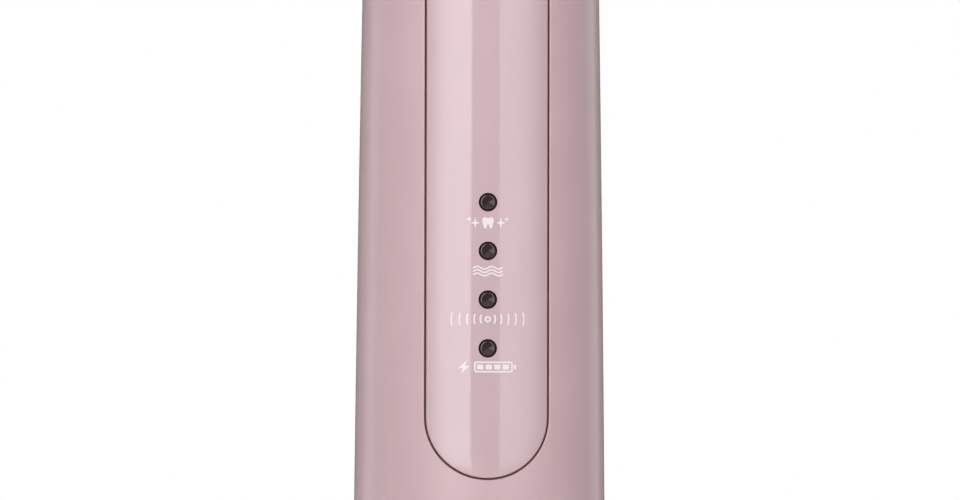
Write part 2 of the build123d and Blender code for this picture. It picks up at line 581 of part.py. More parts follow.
def motor_leads():
    """Two insulated leads from the motor's coil to the board's back."""
    top = WINDING_Z0 - 0.6
    leads = []
    for x in (-MOTOR_LEAD_X, MOTOR_LEAD_X):
        path = FilletPolyline((x, MOTOR_LEAD_Y, top), (x, MOTOR_LEAD_Y, MOTOR_LEAD_H),
                              (x, BOARD_BACK + 0.05, MOTOR_LEAD_H), radius=LEAD_BEND_R)
        section = Plane(path @ 0, z_dir=path % 0) * Circle(MOTOR_LEAD_R)
        leads.append(sweep(section, path))
    return leads


def stator_core():
    """Laminated yoke with a pole plate on each side of the rotor."""
    core = block(-STATOR_HALF_X, STATOR_HALF_X, -STATOR_HALF_Y, STATOR_HALF_Y, STATOR_Z0, STATOR_Z1)
    for side in (-1, 1):
        core += side_block(side, POLE_X0, POLE_X1, -POLE_HALF, POLE_HALF, POLE_Z0, POLE_Z1)
    return core


def stator_coil():
    winding = block(-WINDING_HALF_X, WINDING_HALF_X, -WINDING_HALF_Y, WINDING_HALF_Y, WINDING_Z0, WINDING_Z1)
    half, z0, z1 = STATOR_HALF_Y + COIL_GAP, STATOR_Z0 - COIL_GAP, STATOR_Z1 + COIL_GAP
    return winding - block(-STATOR_HALF_X, STATOR_HALF_X, -half, half, z0, z1)


def bearing_bracket():
    """Plate across the can that carries the rear bearing and lets the pole plates through."""
    bracket = rod(CAN_BORE_R - MOTOR_FIT, BRACKET_Z0, BRACKET_Z1)
    z0, z1 = BRACKET_Z0 - PAST, BRACKET_Z1 + PAST
    bracket -= rod(BEARING_SEAT_R, z0, z1)
    for side in (-1, 1):
        half = POLE_HALF + 0.15
        bracket -= side_block(side, POLE_X0 - 0.2, POLE_X1 + 0.15, -half, half, z0, z1)
    return bracket


def rear_bearing():
    return tube(BEARING_R, RUNNING_R, *REAR_BEARING_Z)


def front_bearing():
    return tube(BEARING_R, RUNNING_R, *FRONT_BEARING_Z)


def motor_front_cap():
    """Front plate with the snout that holds the front bearing."""
    rim_z = MOTOR_TOP + MOTOR_FIT
    cap = rod(MOTOR_R, rim_z, FRONT_PLATE_TOP) + rod(CAN_BORE_R - MOTOR_FIT, MOTOR_TOP - 1.5, rim_z)
    cap += rod(SNOUT_R, FRONT_PLATE_TOP - 0.1, SNOUT_TOP)
    cap -= rod(BEARING_SEAT_R, MOTOR_TOP - 2, FRONT_BEARING_Z[1] + 0.05)
    return cap - rod(SNOUT_BORE_R, MOTOR_TOP - 2, SNOUT_TOP + PAST)


def motor_damper():
    """Rubber ring that keeps the motor's vibration out of the shell."""
    return tube(DAMPER_R, SNOUT_R + 0.05, FRONT_PLATE_TOP + 0.05, DAMPER_TOP)


def motor_spacer():
    """Spacer that the damper presses against, wedged in the shell's neck."""
    bore_r, z0, z1 = SNOUT_R + 0.1, DAMPER_TOP + 0.05, 158.5
    return lathe([(bore_r, z0), (SPACER_R, z0), (SPACER_R, 153.0), (5.6, z1), (bore_r, z1)])


def shaft_seal():
    """Rubber bellows seal with a wiping lip on the shaft."""
    out_r = NECK_BORE_R - 0.05
    return lathe([(out_r, SEAL_BOTTOM), (out_r, SEAL_TOP), (RUNNING_R, SEAL_TOP), (RUNNING_R, 168.3),
                  (2.4, 167.6), (2.9, 166.4), (2.4, 165.4), (3.6, SEAL_BOTTOM)])


def neck_collar():
    """Ring that closes the handle's neck around the shaft."""
    plug_r, foot = NECK_BORE_R - 0.1, HANDLE_H + 0.02
    plug_z = SEAL_TOP + 0.05
    return lathe([(COLLAR_BORE_R, plug_z), (plug_r, plug_z), (plug_r, foot), (NECK_R, foot),
                  (NECK_R, COLLAR_TOP - COLLAR_ROUND), (NECK_R - COLLAR_ROUND, COLLAR_TOP),
                  (COLLAR_BORE_R + 0.8, COLLAR_TOP), (COLLAR_BORE_R, COLLAR_TOP - 1.0)])


def drive_shaft():
    """Steel output shaft with a flat that keys the brush head."""
    shaft = rod(SHAFT_R, SHAFT_BOTTOM, SHAFT_TOP - SHAFT_TIP)
    shaft += Pos(0, 0, SHAFT_TOP - SHAFT_TIP / 2) * Cone(SHAFT_R, SHAFT_R - 0.5, SHAFT_TIP)
    return shaft - block(-3, 3, FLAT_Y, 3, FLAT_BOTTOM, SHAFT_TOP + PAST)


def rotor_core():
    return tube(ROTOR_R, SHAFT_R, *ROTOR_Z)


def rotor_magnets():
    """Two magnets on opposite sides of the rotor core."""
    z0, z1 = ROTOR_Z[0] + MAGNET_END, ROTOR_Z[1] - MAGNET_END
    ring = tube(MAGNET_R, ROTOR_R + 0.02, z0, z1)
    pair = ring & block(-MAGNET_R, MAGNET_R, -MAGNET_HALF, MAGNET_HALF, z0, z1)
    return pair - block(-2, 2, -MAGNET_R, MAGNET_R, z0 - PAST, z1 + PAST)


# ---------------------------------------------------------------- brush head


def tuft_places():
    """(x, height) of each tuft: staggered rows that stay inside the head's oval."""
    margin = TUFT_R + TUFT_EDGE
    rows, columns = range(-5, 6), range(-3, 4)
    for row in rows:
        z = row * TUFT_PITCH_Z
        for column in columns:
            x = (column + 0.5 * (row % 2)) * TUFT_PITCH_X
            if math.hypot((abs(x) + margin) / HEAD_HALF_W, (abs(z) + margin) / HEAD_HALF_H) <= 1.0:
                yield x, HEAD_CENTRE + z


def is_inner(x, z):
    return math.hypot(x / HEAD_HALF_W, (z - HEAD_CENTRE) / HEAD_HALF_H) < INNER_FIELD


def brush_stem():
    """Tapered stem, turned about the shaft's axis."""
    foot = (HEAD_BASE_R, HEAD_BASE + HEAD_EDGE)
    side = Spline(foot, *STEM_PROFILE, (STEM_R, STEM_TOP), tangents=((0, 1), (0, 1)))
    inner_foot = (HEAD_BASE_R - HEAD_EDGE, HEAD_BASE)
    return turned(side, Polyline(side @ 1, (0, STEM_TOP), (0, HEAD_BASE), inner_foot, foot))


def brush_neck():
    """Hollow stem that flows into the oval head, drilled for its tufts."""
    oval = Plane.XZ * Ellipse(HEAD_HALF_W, HEAD_HALF_H)
    head = Pos(0, HEAD_BACK, HEAD_CENTRE) * extrude(oval, HEAD_BACK - HEAD_FRONT)
    back_edge = head.edges().filter_by(GeomType.ELLIPSE).sort_by(Axis.Y)[-1]
    head = fillet(back_edge, HEAD_FILLET)
    throat_y = (HEAD_FRONT + HEAD_BACK) / 2
    throat = loft([Pos(0, 0, STEM_TOP - PAST) * Circle(STEM_R),
                   Pos(0, throat_y, THROAT_TOP) * Ellipse(THROAT_HALF_W, THROAT_HALF_T)])
    neck = brush_stem() + throat + head
    neck -= rod(SKIRT_R, HEAD_BASE - PAST, SKIRT_TOP)
    neck -= rod(COUPLER_R + COUPLER_GAP, HEAD_BASE - PAST, COUPLER_TOP + 2 * COUPLER_GAP)
    groove_r = RING_BORE_R - RING_GAP
    neck -= tube(HEAD_BASE_R + PAST, groove_r, RING_BOTTOM - RING_GAP, RING_TOP + RING_GAP)
    for x, z in tuft_places():
        neck -= rod_y(TUFT_R, HEAD_FRONT - PAST, HEAD_FRONT + TUFT_SINK, x, z)
    return neck


def identity_ring():
    return tube(RING_R, RING_BORE_R, RING_BOTTOM, RING_TOP)


def shaft_coupler():
    """Keyed insert that grips the shaft's flat."""
    bore_top = COUPLER_TOP + PAST
    bore = rod(RUNNING_R, COUPLER_BOTTOM - PAST, bore_top)
    bore -= block(-3, 3, FLAT_Y + 0.04, 3, FLAT_BOTTOM + 0.3, bore_top)
    return rod(COUPLER_R, COUPLER_BOTTOM, COUPLER_TOP) - bore


def tufts(inner):
    return [rod_y(TUFT_R, HEAD_FRONT - TUFT_LENGTH, HEAD_FRONT + TUFT_SINK, x, z)
            for x, z in tuft_places() if is_inner(x, z) == inner]


def inner_tufts():
    return tufts(True)


def outer_tufts():
    return tufts(False)


# ---------------------------------------------------------------- export

CHARGER_NODES = (
    charger_top_shell, charger_base_plate, charger_foot_ring, charger_seal, charger_screws, charger_board,
    charger_components, transmitter_bobbin, transmitter_coil, ferrite_rod, socket_shell, socket_tongue,
)

RAISED_NODES = (
    handle_shell, panel_gasket, control_panel, power_button, button_seal, base_cap, base_cap_seal,
    receiver_bobbin, receiver_coil, receiver_leads, chassis, battery_cell, battery_tabs, main_board,
    board_screws, microcontroller, board_components, indicator_lights, light_baffle, switch_body,
    switch_plunger, motor_can, motor_rear_cap, motor_leads, stator_core, stator_coil, bearing_bracket,
    rear_bearing, front_bearing, motor_front_cap, motor_damper, motor_spacer, shaft_seal, neck_collar,
    drive_shaft, rotor_core, rotor_magnets, brush_neck, identity_ring, shaft_coupler,
    inner_tufts, outer_tufts,
)


def write(name, made, lift):
    """One STEP file for a node, from one shape or a list of separate ones."""
    solids = []
    for shape in made if isinstance(made, list) else [made]:
        solids += shape.solids()
    placed = [Pos(0, 0, lift) * s for s in solids]
    export_step(placed[0] if len(placed) == 1 else Compound(children=placed), f"parts/{name}.step")


def main():
    os.makedirs("parts", exist_ok=True)
    for make in CHARGER_NODES:
        write(make.__name__, make(), 0.0)
    for make in RAISED_NODES:
        write(make.__name__, make(), SEAT_Z)
    for name, height in zip(LIGHT_NAMES, light_heights()):
        write(f"{name}_light_pipe", light_pipe(height), SEAT_Z)


main()
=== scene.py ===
import json
import math
import random

import bpy
import numpy as np
from mathutils import Matrix, Vector
from mathutils.geometry import delaunay_2d_cdt


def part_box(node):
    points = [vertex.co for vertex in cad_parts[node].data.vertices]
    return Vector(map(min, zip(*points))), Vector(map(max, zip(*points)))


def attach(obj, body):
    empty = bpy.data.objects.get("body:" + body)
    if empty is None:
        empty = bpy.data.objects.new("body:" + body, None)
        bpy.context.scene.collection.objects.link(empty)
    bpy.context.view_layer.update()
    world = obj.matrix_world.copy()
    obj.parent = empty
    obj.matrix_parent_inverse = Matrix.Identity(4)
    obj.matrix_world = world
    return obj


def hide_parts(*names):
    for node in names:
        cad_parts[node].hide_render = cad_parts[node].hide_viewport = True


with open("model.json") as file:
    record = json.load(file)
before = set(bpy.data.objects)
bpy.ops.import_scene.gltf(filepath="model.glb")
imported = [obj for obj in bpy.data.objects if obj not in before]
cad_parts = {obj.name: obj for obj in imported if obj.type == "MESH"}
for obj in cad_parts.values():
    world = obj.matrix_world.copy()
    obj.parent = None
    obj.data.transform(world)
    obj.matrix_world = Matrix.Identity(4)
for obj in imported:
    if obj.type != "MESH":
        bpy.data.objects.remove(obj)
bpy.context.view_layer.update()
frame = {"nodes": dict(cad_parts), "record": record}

# Lengths are in millimetres until a mesh is made, and heights on the handle and the brush head are counted
# from the handle's foot, as they are in the CAD part.
MM = 0.001
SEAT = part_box("base_cap")[0].z / MM

# Handle housing: the flank is a shallow parabola from seam to shoulder, and a curve draws the neck in.
SEAM_R, SEAM_H = 14.40, 6.0
FLANK_R = 13.83
SHOULDER_R, SHOULDER_H = 12.06, 148.0
NECK_R, HANDLE_H = 7.35, 172.0
NECK_BORE_R, NECK_BORE_H = 4.6, 164.0
WALL, CAP_BORE_R, CAP_BORE_TOP = 2.4, 12.3, 13.0

# Slot for the control panel.
SLOT_HALF, SLOT_BOTTOM, SLOT_TOP = 7.05, 26.95, 122.0
LEDGE, LEDGE_DEPTH = 1.35, 1.65
SLOT_ROUND = 0.2
PANEL_GAP, PANEL_T, PANEL_ROUND = 0.2, 1.45, 0.13

# Indicator windows and the power button.
LIGHT_HEIGHTS = {"charge": 41.8, "massage": 47.3, "soft": 52.8, "clean": 58.3}
LIGHT_HOLE_R, HOLE_ROUND = 1.05, 0.05
BUTTON_H, BUTTON_R, BUTTON_HOLE_R, BUTTON_PROUD = 104.0, 4.45, 4.6, 0.25


# ---- Meshes


class Skin:
    """Points with normals and the faces between them. Equal points are merged when the mesh is made, so rows
    that meet with different normals make a crease, and a row of equal points makes a pole."""

    def __init__(self):
        self.points, self.normals, self.faces = [], [], []
        self.count = 0

    def add(self, points, normals):
        """Adds an array of points of any shape and returns their indices in that shape."""
        points = np.asarray(points, float)
        normals = np.broadcast_to(np.asarray(normals, float), points.shape)
        size = points[..., 0].size
        index = np.arange(self.count, self.count + size).reshape(points.shape[:-1])
        self.points.append(points.reshape(-1, 3))
        self.normals.append(normals.reshape(-1, 3))
        self.count += size
        return index

    def rows(self, index):
        """Quads between closed rows of indices."""
        for a, b in zip(index[:-1], index[1:]):
            for i in range(len(a)):
                j = (i + 1) % len(a)
                self.faces.append((a[i], a[j], b[j], b[i]))

    def band(self, a, b, normals):
        """A wall between two rows of points, with its own normals."""
        self.rows([self.add(a, normals), self.add(b, normals)])

    def triangles(self, index, triangles):
        self.faces += [tuple(index[i] for i in t) for t in triangles]

    def at(self, index):
        """The points with some indices."""
        return np.vstack(self.points)[index]

    def turned_round(self):
        """The same skin after half a turn about Z."""
        half_turn = np.array((-1, -1, 1))
        self.points = [p * half_turn for p in self.points]
        self.normals = [n * half_turn for n in self.normals]
        return self

    def make(self, name, material, body, replaces=(), slot=None, lift=0.0):
        """The finished object, riding on its body."""
        points, normals = np.vstack(self.points), np.vstack(self.normals)
        _, first, merged = np.unique(np.round(points, 5), axis=0, return_index=True, return_inverse=True)
        merged = merged.reshape(-1)
        vertices = (points[first] + (0, 0, lift)) * MM
        faces, corner_normals = [], []
        for face in self.faces:
            corners = [v for k, v in enumerate(face) if merged[v] != merged[face[k - 1]]]
            if len({merged[v] for v in corners}) < 3:
                continue
            p = points[corners]
            area = np.cross(p[1] - p[0], p[2] - p[0])
            if len(corners) == 4:
                area = np.cross(p[2] - p[0], p[3] - p[1])
            if area @ normals[corners].sum(0) < 0:
                corners.reverse()
            faces.append([int(merged[v]) for v in corners])
            corner_normals += [normals[v] for v in corners]
        corner_normals = np.array(corner_normals)
        corner_normals /= np.linalg.norm(corner_normals, axis=1)[:, None]
        mesh = bpy.data.meshes.new(name)
        mesh.from_pydata(vertices.tolist(), [], faces)
        mesh.polygons.foreach_set("use_smooth", [True] * len(mesh.polygons))
        mesh.normals_split_custom_set(corner_normals.tolist())
        return place(bpy.data.objects.new(name, mesh), material, body, replaces, slot)


def place(piece, material, body, replaces=(), slot=None):
    """Links a piece, gives it its material and lets it ride on its body."""
    bpy.context.scene.collection.objects.link(piece)
    piece.data.materials.append(material)
    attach(piece, body)
    if replaces:
        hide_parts(*replaces)
    return piece


def unit(v):
    v = np.asarray(v, float)
    return v / np.linalg.norm(v, axis=-1, keepdims=True)


def rounded(corners, steps=6):
    """An outline of (radius, height) points with normals, from (radius, height, fillet) corners. The solid
    is on the left of the way it runs, so a normal is the direction turned to the right."""
    points, normals = [], []
    p = [np.array(c[:2], float) for c in corners]
    fillet = [c[2] if len(c) > 2 else 0.0 for c in corners]
    ways = [unit(b - a) for a, b in zip(p[:-1], p[1:])]
    right = [np.array((w[1], -w[0])) for w in ways]
    points.append(p[0])
    normals.append(right[0])
    for i in range(1, len(p) - 1):
        a, b = ways[i - 1], ways[i]
        turn = math.atan2(a[0] * b[1] - a[1] * b[0], a @ b)
        reach = fillet[i] * math.tan(abs(turn) / 2)
        if fillet[i] <= 0 or abs(turn) < 1e-6:
            points += [p[i], p[i]]
            normals += [right[i - 1], right[i]]
            continue
        side = 1 if turn > 0 else -1
        start = p[i] - a * reach
        centre = start - side * fillet[i] * right[i - 1]
        for k in range(steps + 1):
            angle = turn * k / steps
            c, s = math.cos(angle), math.sin(angle)
            x, z = right[i - 1]
            n = np.array((c * x - s * z, s * x + c * z))
            points.append(centre + side * fillet[i] * n)
            normals.append(n)
    points.append(p[-1])
    normals.append(right[-1])
    return np.array(points), np.array(normals)


def joined(*runs):
    """Several outlines, each (points, normals), as one."""
    return np.vstack([r[0] for r in runs]), np.vstack([r[1] for r in runs])


def around(outline, angles):
    """Points and normals of an outline turned about Z. Angle 0 faces -Y."""
    (points, normals), angles = outline, np.asarray(angles)
    s, c = np.sin(angles), -np.cos(angles)

    def turn(rz):
        r, z = rz[:, :1], rz[:, 1:]
        return np.stack([r * s, r * c, np.broadcast_to(z, (len(rz), len(angles)))], -1)

    return turn(points), turn(normals)


def full_turn(count):
    return np.arange(count) * 2 * math.pi / count


def way_of(angle):
    """The flat direction at an angle."""
    return np.stack([np.cos(angle), np.sin(angle)], -1)


def lathe(outline, count=96):
    """A skin turned about Z from a closed or pole-to-pole outline."""
    skin = Skin()
    skin.rows(skin.add(*around(outline, full_turn(count))))
    return skin


# ---- Handle shape


def flank_radius(h):
    t = (np.asarray(h, float) - SEAM_H) / (SHOULDER_H - SEAM_H)
    return (1 - t) ** 2 * SEAM_R + 2 * t * (1 - t) * FLANK_R + t**2 * SHOULDER_R


def flank_slope(h):
    t = (np.asarray(h, float) - SEAM_H) / (SHOULDER_H - SEAM_H)
    return 2 * ((1 - t) * (FLANK_R - SEAM_R) + t * (SHOULDER_R - FLANK_R)) / (SHOULDER_H - SEAM_H)


def flank_run(heights, inset=0.0):
    """The flank's outline at some heights."""
    slope = flank_slope(heights)
    points = np.stack([flank_radius(heights) - inset, heights], -1)
    return points, unit(np.stack([np.ones_like(slope), -slope], -1))


def neck_run(count, inset, end, pull=0.36):
    """The drawn-in neck, a cubic that leaves the flank's top along it and ends upright."""
    start = np.array((SHOULDER_R - inset, SHOULDER_H))
    end = np.array(end, float)
    along = unit((float(flank_slope(SHOULDER_H)), 1.0))
    reach = pull * np.linalg.norm(end - start)
    control = start + along * reach, end - np.array((0, reach))
    t = np.linspace(0, 1, count)[:, None]
    points = ((1 - t) ** 3 * start + 3 * t * (1 - t) ** 2 * control[0] + 3 * t**2 * (1 - t) * control[1]
              + t**3 * end)
    ways = 3 * ((1 - t) ** 2 * (control[0] - start) + 2 * t * (1 - t) * (control[1] - control[0])
                + t**2 * (end - control[1]))
    return points, unit(np.stack([ways[:, 1], -ways[:, 0]], -1))


def flank_point(flat, inset=0.0):
    """Points and normals on the handle's front at (x, height) pairs seen from the front."""
    x, h = np.asarray(flat, float).T
    r = flank_radius(h) - inset
    y = -np.sqrt(r**2 - x**2)
    return np.stack([x, y, h], -1), unit(np.stack([x / r, y / r, -flank_slope(h)], -1))


# ---- Slots in round walls


def graded(*runs):
    """Values along several runs (start, end, steps), each run's last value being the next one's first."""
    values = [np.linspace(a, b, n + 1)[:-1] for a, b, n in runs]
    return np.append(np.concatenate(values), runs[-1][1])


def slot_loop(half, centre, reach, upright, counts):
    """(x, z) pairs round a slot shape, and the directions away from it. reach is how far each round end's
    centre is from the slot's own centre. counts are the steps along half of an end's long-side part, along
    a straight side and round an end's middle part. It starts at the lower left and runs anticlockwise seen
    from the front."""
    corner, straight, end = counts
    angles = math.pi / 4 * graded((-3, -1, end), (-1, 0, corner), (0, 0, straight), (0, 1, corner))[:-1]
    along = graded((-reach, -reach, end + corner), (-reach, reach, straight), (reach, reach, corner))[:-1]
    away = way_of(angles)
    loop = half * away + np.stack([np.zeros_like(along), along], -1)
    loop, away = np.vstack([loop, -loop]), np.vstack([away, -away])
    if not upright:
        loop, away = (np.roll(np.stack([v[:, 1], -v[:, 0]], -1), -end, 0) for v in (loop, away))
    return loop + np.asarray(centre), away


class RoundWall:
    """A turned wall with one slot through it. The slot's rings fill the outline's rows from low to high in
    the columns from the first to right."""

    def __init__(self, skin, outline, angles, low, high, right):
        self.skin, self.outline, self.angles = skin, outline, angles
        self.low, self.high, self.right = low, high, right
        grid = skin.add(*around(outline, angles))
        for i, (a, b) in enumerate(zip(grid[:-1], grid[1:])):
            for j in range(len(a)):
                if not (low <= i < high and j < right):
                    k = (j + 1) % len(a)
                    skin.faces.append((a[j], a[k], b[k], b[j]))

    def at(self, angle, z):
        """Points and normals at angles and heights within the rectangle."""
        points, normals = (v[self.low:self.high + 1] for v in self.outline)
        r, nr, nz = (np.interp(z, points[:, 1], v) for v in (points[:, 0], *normals.T))
        s, c = np.sin(angle), -np.cos(angle)
        return np.stack([r * s, r * c, z], -1), np.stack([nr * s, nr * c, nz], -1)

    def angle_of(self, loop):
        points = self.outline[0][self.low:self.high + 1]
        return np.arcsin(loop[:, 0] / np.interp(loop[:, 1], points[:, 1], points[:, 0]))

    def under(self, loop):
        """Points and normals at (x, z) pairs."""
        return self.at(self.angle_of(loop), loop[:, 1])

    def border(self):
        """Angles and heights round the rectangle, in the slot loop's order."""
        low, high, right = self.low, self.high, self.right
        order = [(j, low) for j in range(right)] + [(right, i) for i in range(low, high)]
        order += [(j, high) for j in range(right, 0, -1)] + [(0, i) for i in range(high, low, -1)]
        columns, rows = np.array(order).T
        return self.angles[columns], self.outline[0][rows, 1]

    def rings(self, loop, count, grading=1.7):
        """Rings from the rectangle in to a slot loop."""
        angle0, z0 = self.border()
        angle1, z1 = self.angle_of(loop), loop[:, 1]
        t = (1 - (1 - np.linspace(0, 1, count + 1)) ** grading)[:, None]
        points, normals = self.at(angle0 * (1 - t) + angle1 * t, z0 * (1 - t) + z1 * t)
        self.skin.rows(self.skin.add(points, normals))


def rounded_edge(skin, surface, loop_at, radius, way, steps):
    """Rings from a face over its rounded edge, to the back. surface gives points and normals at a loop, and
    way is 1 where the face lies inside its outline, -1 where it lies outside. Returns the last ring's
    points and loop, and the directions out over the edge."""
    rings = []
    for a in math.pi / 2 * np.arange(steps + 1) / steps:
        loop, away = loop_at(-way * radius * (1 - math.sin(a)))
        points, normals = surface(loop)
        lowered, side = points + (0, radius * (1 - math.cos(a)), 0), way * lift_flat(away)
        rings.append(skin.add(lowered, unit(normals * math.cos(a) + side * math.sin(a))))
    skin.rows(rings)
    return lowered, loop, side


# ---- Flat areas


def closed_edges(loops):
    """The points of closed outlines in one list, and the edges between them."""
    points, edges = [], []
    for loop in loops:
        start, n = len(points), len(loop)
        edges += [(start + i, start + (i + 1) % n) for i in range(n)]
        points += [Vector(p) for p in loop]
    return points, edges


def fill(loops, keep, extra):
    """Triangles over the points of closed outlines and some points between, where keep says so. The result
    is all of the pairs in one array, and the triangles."""
    points, edges = closed_edges(loops)
    points += [Vector(p) for p in extra]
    _, _, faces, origins, _, _ = delaunay_2d_cdt(points, edges, [], 0, 1e-7)
    triangles = np.array([[origins[v][0] for v in f] for f in faces])
    points = np.vstack([np.asarray(p, float) for p in (*loops, extra) if len(p)])
    return points, triangles[keep(points[triangles].mean(1))]


def circle(radius, centre, count):
    return np.asarray(centre) + radius * way_of(full_turn(count))


def grid_points(low, high, step):
    x, z = np.meshgrid(np.arange(low[0], high[0], step[0]), np.arange(low[1], high[1], step[1]))
    x[1::2] += step[0] / 2
    return np.stack([x.ravel(), z.ravel()], -1)


def inside_polygon(points, polygon):
    """Which points lie inside a closed outline."""
    x, z = points[:, :1], points[:, 1:]
    a, b = polygon, np.roll(polygon, -1, 0)
    crosses = (a[:, 1] > z) != (b[:, 1] > z)
    rise = np.where(b[:, 1] == a[:, 1], 1.0, b[:, 1] - a[:, 1])
    at = a[:, 0] + (z - a[:, 1]) * (b[:, 0] - a[:, 0]) / rise
    return (crosses & (x < at)).sum(1) % 2 == 1


def lift_flat(pairs, y=0.0):
    """Flat (x, z) pairs as points."""
    pairs = np.asarray(pairs)
    return np.stack([pairs[..., 0], np.full(pairs.shape[:-1], y), pairs[..., 1]], -1)


# ---- Handle


SLOT_S0, SLOT_S1 = SLOT_BOTTOM + SLOT_HALF, SLOT_TOP - SLOT_HALF


def panel_loop(half, counts=(14, 96, 30)):
    """A loop of the control panel's shape at a half width, and the directions away from it."""
    return slot_loop(half, (0.0, (SLOT_S0 + SLOT_S1) / 2), (SLOT_S1 - SLOT_S0) / 2, True, counts)


def handle_housing():
    """The shell: outer skin, inner skin, and the stepped slot between them."""
    corner, straight, end = counts = (12, 46, 28)
    below, above, beside = 7, 12, 84
    spread, margin, edge_round = math.radians(52), 6.0, 0.14
    low_h, high_h = SLOT_BOTTOM - margin, SLOT_TOP + margin
    edge_h, flank_h, neck_h, head_h = SEAM_H + 0.3, SEAM_H + 0.4, HANDLE_H - 0.5, HANDLE_H - 0.4
    heights = graded((flank_h, low_h, below), (low_h, SLOT_S0, corner), (SLOT_S0, SLOT_S1, straight),
                     (SLOT_S1, high_h, corner), (high_h, SHOULDER_H, above))
    angles = graded((-spread, spread, end), (spread, 2 * math.pi - spread, beside))[:-1]
    foot = rounded([(CAP_BORE_R, SEAM_H), (SEAM_R, SEAM_H, edge_round),
                    (float(flank_radius(edge_h)), edge_h)])
    head = rounded([(NECK_R, head_h), (NECK_R, HANDLE_H, edge_round), (NECK_BORE_R, HANDLE_H)])
    outer = joined(foot, flank_run(heights), neck_run(40, 0.0, (NECK_R, neck_h)), head)
    first = len(foot[0]) + below
    skin = Skin()
    front = RoundWall(skin, outer, angles, first, first + 2 * corner + straight, end)
    front.rings(panel_loop(SLOT_HALF + SLOT_ROUND, counts)[0], 12)
    _, loop, into = rounded_edge(skin, front.under, lambda outward: panel_loop(SLOT_HALF + outward, counts),
                                 SLOT_ROUND, -1, 4)
    base = rounded([(CAP_BORE_R, SEAM_H), (CAP_BORE_R, CAP_BORE_TOP),
                    (float(flank_radius(CAP_BORE_TOP)) - WALL, CAP_BORE_TOP)])
    inner_heights = np.append(CAP_BORE_TOP, heights[heights > CAP_BORE_TOP + 1])
    first = len(base[0]) + int(np.argmin(abs(inner_heights - low_h)))
    inner = joined(base, flank_run(inner_heights, WALL), neck_run(24, WALL, (NECK_BORE_R, NECK_BORE_H), 0.3),
                   rounded([(NECK_BORE_R, NECK_BORE_H + 0.1), (NECK_BORE_R, HANDLE_H)]))
    facing_in = inner[0], -inner[1]
    back = RoundWall(skin, facing_in, angles, first, first + 2 * corner + straight, end)
    window = panel_loop(SLOT_HALF - LEDGE, counts)[0]
    back.rings(window, 6)
    shelf_out, shelf_normals = flank_point(loop, LEDGE_DEPTH)
    shelf_in = flank_point(window, LEDGE_DEPTH)[0]
    skin.band(flank_point(loop)[0] + (0, SLOT_ROUND, 0), shelf_out, into)
    skin.band(shelf_out, shelf_in, shelf_normals)
    skin.band(shelf_in, flank_point(window, WALL)[0], into)
    return skin


def off_middle(flat):
    """From the panel's middle line to some (x, height) pairs."""
    return np.stack([flat[:, 0], flat[:, 1] - np.clip(flat[:, 1], SLOT_S0, SLOT_S1)], -1)


def panel_point(flat):
    """Points and normals on the panel's face, which falls away softly to its outline, most at its ends."""
    side_fall, end_fall, reach = 0.03, 0.12, 1.8
    points, normals = flank_point(flat)
    off = off_middle(flat)
    radius = np.maximum(np.hypot(*off.T), 1e-9)
    near = np.clip(1 - (SLOT_HALF - PANEL_GAP - radius) / reach, 0, None)
    fall = side_fall + (end_fall - side_fall) * (off[:, 1] / radius) ** 2
    slope = (2 * fall / reach * near / radius)[:, None] * off
    points[:, 1] += fall * near**2
    return points, unit(normals + lift_flat(slope))


def front_panel():
    """The glossy inlay: curved face with rounded edges, indicator holes, and the button's guide collar."""
    half, guide_r, guide_back = SLOT_HALF - PANEL_GAP, 5.4, -9.75
    clear, ring_step, round_steps, grid_step, hole_rings = 1.7, 0.35, 5, (0.8, 0.9), (1.15, 1.4)
    holes = [(h, LIGHT_HOLE_R, HOLE_ROUND, 48) for h in LIGHT_HEIGHTS.values()]
    holes.append((BUTTON_H, BUTTON_HOLE_R, PANEL_ROUND, 120))
    skin = Skin()

    def spots(radii):
        """Points between the outlines, clear of them."""
        points = grid_points((-half, SLOT_BOTTOM), (half, SLOT_TOP), grid_step)
        free = np.hypot(*off_middle(points).T) < half - clear
        rings = [panel_loop(half - k)[0] for k in np.arange(ring_step, clear, ring_step)]
        for (h, _, _, count), radius in zip(holes, radii):
            free &= np.hypot(points[:, 0], points[:, 1] - h) > radius * 1.5 + 0.3
            near = [radius * k for k in hole_rings if radius * k < half - clear]
            rings += [circle(r, (0, h), count // 2) for r in near]
        return np.vstack([points[free]] + rings)

    def face(border, radii, surface, sign):
        loops = [border] + [circle(r, (0, hole[0]), hole[3]) for hole, r in zip(holes, radii)]

        def keep(c):
            inside = np.hypot(*off_middle(c).T) < half
            for (h, *_), radius in zip(holes, radii):
                inside &= np.hypot(c[:, 0], c[:, 1] - h) > radius * 0.999
            return inside

        flat, triangles = fill(loops, keep, spots(radii))
        points, normals = surface(flat)
        skin.triangles(skin.add(points, sign * normals), triangles)

    def back_of(flat):
        return flank_point(flat, PANEL_T)

    face(panel_loop(half - PANEL_ROUND)[0], [r + rounding for _, r, rounding, _ in holes], panel_point, 1)
    face(panel_loop(half)[0], [r for _, r, _, _ in holes[:-1]] + [guide_r], back_of, -1)

    edge, loop, side = rounded_edge(skin, panel_point, lambda outward: panel_loop(half + outward),
                                    PANEL_ROUND, 1, round_steps)
    skin.band(edge, back_of(loop)[0], side)
    for h, radius, rounding, count in holes:
        def ring_at(outward, h=h, radius=radius, count=count):
            return circle(radius + outward, (0, h), count), circle(1.0, (0, 0), count)

        edge, loop, side = rounded_edge(skin, panel_point, ring_at, rounding, -1, round_steps)
        if h != BUTTON_H:
            skin.band(edge, back_of(loop)[0], side)
            continue
        guide = circle(guide_r, (0, h), count)
        deep, outer = lift_flat(loop, guide_back), lift_flat(guide, guide_back)
        skin.band(edge, deep, side)
        skin.band(deep, outer, (0, 1, 0))
        skin.band(outer, back_of(guide)[0], -side)
    return skin


